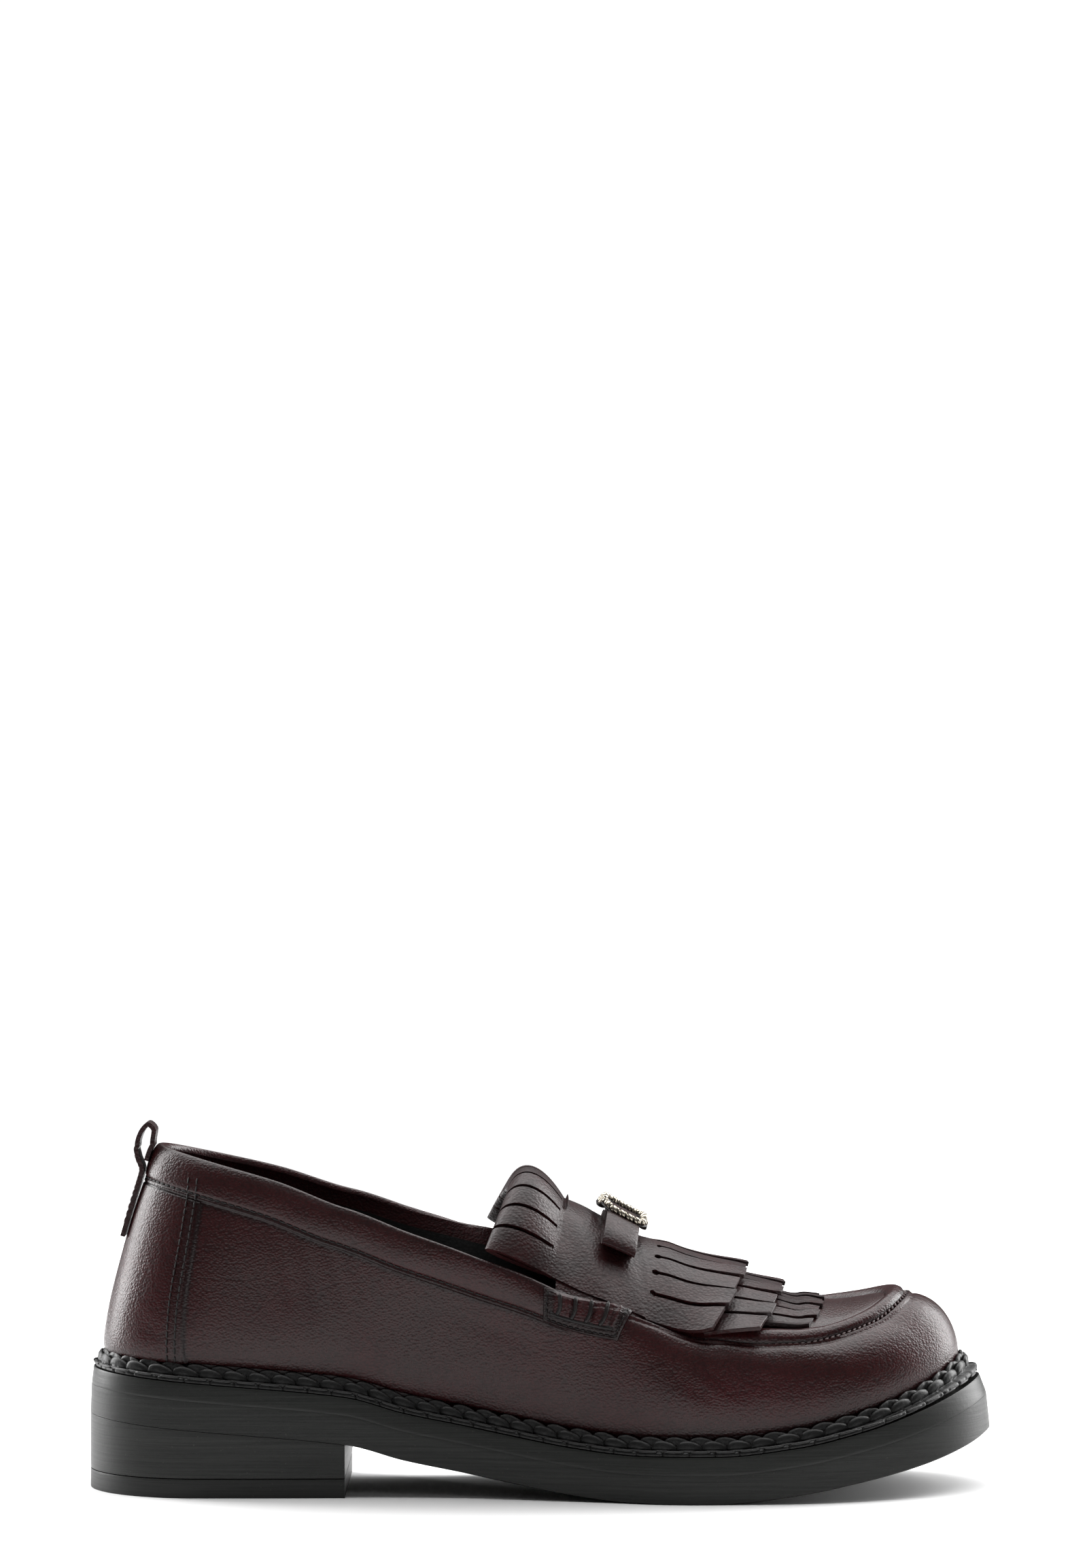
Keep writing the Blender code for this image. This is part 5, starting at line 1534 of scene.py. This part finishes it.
def edge_finish(name, slot, plain, dark, roughness):
    """Inked and polished leather edge: fine streaks along the sole, scuffs and pale specks."""
    finish = Finish(name, slot, roughness, coat=0.05, coat_roughness=0.3, specular=0.30)
    streaks = finish.noise(finish.place((26, 26, 1500)), 1.0, 4, 0.65)
    wide = finish.noise(finish.place((10, 10, 240)), 1.0, 3, 0.6)
    where = finish.place()
    specks = finish.noise(where, 1400, 2, 0.5).between(0.70, 0.76)
    base = finish.blend(streaks.between(0.35, 0.7) * 0.8, plain, dark)
    base = finish.blend(wide.between(0.4, 0.7) * 0.5, base, dark)
    base = finish.blend(specks * 0.25, base, (0.09, 0.085, 0.075))
    finish.put("Base Color", base)
    finish.put("Roughness", roughness + streaks * 0.16 - 0.05)
    finish.bump(streaks * 0.5 + wide * 0.3 + finish.noise(where, 700, 3, 0.6) * 0.3, 0.00010)
    return finish


def thread_finish(name, slot, plain, dark, roughness):
    """Waxed thread: fine slanting twist."""
    finish = Finish(name, slot, roughness)
    twist = finish.noise(finish.place((1, 1, 1.6), (0.5, 0.7, 0.2)), 2600, 2, 0.6)
    finish.put("Base Color", finish.blend(twist.between(0.35, 0.65), plain, dark))
    finish.bump(twist, 0.0001)
    return finish


def silver_finish():
    """Antique silver: pale strands, black in the grooves."""
    finish = Finish("antique_silver", "silver", 0.30, metallic=1.0)
    groove = finish.trait("groove").between(0.35, 0.85)
    tarnish = finish.noise(finish.place(), 900, 3, 0.6).between(0.55, 0.75)
    base = finish.blend(tarnish * 0.6, (0.50, 0.45, 0.37), (0.16, 0.13, 0.10))
    finish.put("Base Color", finish.blend(groove * 0.92, base, (0.02, 0.018, 0.016)))
    finish.put("Roughness", groove * 0.35 + 0.24)
    finish.bump(finish.noise(finish.place(), 2500, 2, 0.5), 0.00006)
    return finish


def welt_finish():
    """Black waxed welt: mottled and dull, with a painted highlight along the scallops' crests."""
    finish = Finish("black_welt_leather", "welt_leather", 0.42, coat=0.10, coat_roughness=0.3, specular=0.30)
    where = finish.place()
    rim = finish.trait("rim")
    rough = finish.noise(where, 600, 4, 0.65)
    base = finish.blend(rough.between(0.4, 0.7), (0.0085, 0.0085, 0.0085), (0.003, 0.003, 0.003))
    # Painted highlight: paler along the scallops' crests.
    base = finish.blend(rim * 0.45, base, (0.040, 0.040, 0.039))
    finish.put("Base Color", base)
    finish.put("Roughness", rough * 0.3 + 0.28)
    finish.bump(rough, 0.00018)
    return finish


def make_stage():
    """Plain pale floor."""
    x, y = np.meshgrid([-1.1, 1.3], [-1.0, 1.1])
    mesh = bpy.data.meshes.new("floor")
    points = np.stack([x, y, 0 * x], axis=-1).reshape(-1, 3)
    mesh.from_pydata(points.tolist(), [], [(0, 1, 3, 2)])
    floor = bpy.data.objects.new("floor", mesh)
    bpy.context.scene.collection.objects.link(floor)
    pale = bpy.data.materials.new("pale_floor")
    pale.use_nodes = True
    shader = pale.node_tree.nodes["Principled BSDF"]
    shader.inputs["Base Color"].default_value = (0.93, 0.93, 0.93, 1)
    shader.inputs["Roughness"].default_value = 0.9
    shader.inputs["Specular IOR Level"].default_value = 0.2
    mesh.materials.append(pale)


# Soft lights: where each stands, its size and its power; all look at AIM
LampRow = namedtuple("LampRow", "name place size power")
LAMPS = [
    LampRow("overhead", (0.10, 0.45, 1.50), (2.4, 2.0), 52.0),
    LampRow("toe_side", (1.30, 0.70, 0.60), (0.7, 1.2), 26.0),
    LampRow("heel_side", (-1.20, 0.70, 0.60), (0.7, 1.2), 26.0),
    LampRow("front_fill", (0.30, -1.60, 1.60), (1.2, 0.5), 1.5),
]
AIM = Vector((0.10, 0.0, 0.04))


def make_lights():
    """White surroundings with large soft lights above, at both ends and, faintly, in front."""
    world = bpy.data.worlds.new("white_room")
    bpy.context.scene.world = world
    world.use_nodes = True
    nodes, links = world.node_tree.nodes, world.node_tree.links
    dim = nodes["Background"]
    dim.inputs["Color"].default_value = (1, 1, 1, 1)
    dim.inputs["Strength"].default_value = 0.08
    white = nodes.new("ShaderNodeBackground")
    white.inputs["Color"].default_value = (1, 1, 1, 1)
    white.inputs["Strength"].default_value = 1.05
    path, mix = nodes.new("ShaderNodeLightPath"), nodes.new("ShaderNodeMixShader")
    links.new(path.outputs["Is Camera Ray"], mix.inputs["Fac"])
    links.new(dim.outputs["Background"], mix.inputs[1])
    links.new(white.outputs["Background"], mix.inputs[2])
    links.new(mix.outputs["Shader"], nodes["World Output"].inputs["Surface"])
    bpy.context.scene.view_settings.view_transform = "Standard"
    for row in LAMPS:
        light = bpy.data.lights.new(row.name, "AREA")
        light.shape = "RECTANGLE"
        light.size, light.size_y = row.size
        light.energy = row.power
        lamp = bpy.data.objects.new(row.name, light)
        lamp.location = row.place
        lamp.rotation_euler = (AIM - lamp.location).to_track_quat("-Z", "Y").to_euler()
        bpy.context.scene.collection.objects.link(lamp)


# Camera: focal length and the picture's height in pixels, and its place along, away from and above the shoe
SENSOR = 36.0
FOCAL_PIXELS = 7922
PHOTO_HEIGHT = 2306
CAMERA_ALONG = 0.1425
CAMERA_AWAY = 1.7
CAMERA_HEIGHT = 0.221


def make_camera():
    """Camera level with the floor, looking straight across the shoe from its outer side."""
    lens = bpy.data.cameras.new("camera")
    lens.sensor_width = SENSOR
    lens.lens = SENSOR * FOCAL_PIXELS / PHOTO_HEIGHT
    camera = bpy.data.objects.new("camera", lens)
    camera.location = (CAMERA_ALONG - HEEL_LENGTH / 2, -CAMERA_AWAY, CAMERA_HEIGHT)
    camera.rotation_euler = (math.radians(90), 0, 0)
    bpy.context.scene.collection.objects.link(camera)
    bpy.context.scene.camera = camera


# Colours of the leathers and threads
PLAIN, RED, DARK = (0.0285, 0.0066, 0.0067), (0.0400, 0.0034, 0.0050), (0.0022, 0.0010, 0.0011)
TRIM, TRIM_DARK = (0.0260, 0.0050, 0.0054), (0.007, 0.0018, 0.0020)
LACE, LACE_DARK = (0.009, 0.006, 0.006), (0.004, 0.003, 0.003)
LINING, LINING_DARK = (0.0045, 0.0040, 0.0040), (0.002, 0.002, 0.002)
EDGE, RUBBER, EDGE_DARK = (0.017, 0.0180, 0.0165), (0.015, 0.0158, 0.0148), (0.006, 0.0065, 0.006)
WAXED, WAXED_DARK = (0.011, 0.011, 0.0105), (0.003, 0.003, 0.003)
SEWN, SEWN_DARK = (0.0030, 0.0020, 0.0020), (0.001, 0.001, 0.001)
SEWN_RED, SEWN_RED_DARK = (0.050, 0.006, 0.007), (0.006, 0.002, 0.002)

upper_finish = leather("burgundy_leather", "upper_leather", PLAIN, RED, DARK, 0.29, 0.00018, 0.12)
trim_finish = plain_leather("trim_leather", "trim_leather", TRIM, TRIM_DARK, 0.38, 950, 0.00020, 0.04)
tab_finish = leather("burgundy_tab", "trim_leather", PLAIN, RED, DARK, 0.34, 0.00024, 0.10)
lace_finish = plain_leather("dark_lace", "trim_leather", LACE, LACE_DARK, 0.45, 1600, 0.00012, 0.1)
lining_finish = plain_leather("black_lining", "lining", LINING, LINING_DARK, 0.75, 900, 0.00008)
sole_finish = edge_finish("black_sole_edge", "sole_leather", EDGE, EDGE_DARK, 0.40)
rubber_finish = edge_finish("black_heel_rubber", "heel_rubber", RUBBER, EDGE_DARK, 0.44)
dark_thread = thread_finish("dark_thread", "upper_leather", SEWN, SEWN_DARK, 0.6)
red_thread = thread_finish("red_thread", "upper_leather", SEWN_RED, SEWN_RED_DARK, 0.5)
black_thread = thread_finish("black_thread", "welt_leather", WAXED, WAXED_DARK, 0.45)

make_upper(upper_finish)
make_lining(lining_finish)
make_sole(sole_finish, rubber_finish)
make_welt(welt_finish())
make_welt_thread(black_thread)
make_upper_thread(dark_thread)
make_apron_thread(red_thread)
make_fringe(FRINGE_FRONT, (), trim_finish)
make_fringe(FRINGE_MIDDLE, (FRINGE_FRONT,), trim_finish)
make_kiltie(trim_finish)
make_tab("side_tab_lateral", -1, tab_finish, lace_finish)
make_tab("side_tab_medial", 1, tab_finish, lace_finish)
make_bow(trim_finish)
make_ornament(silver_finish(), lace_finish)
make_pull_loop(trim_finish, red_thread)

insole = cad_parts["insole"]
for index in range(len(insole.data.materials)):
    insole.data.materials[index] = lining_finish.material

make_stage()
make_lights()
make_camera()
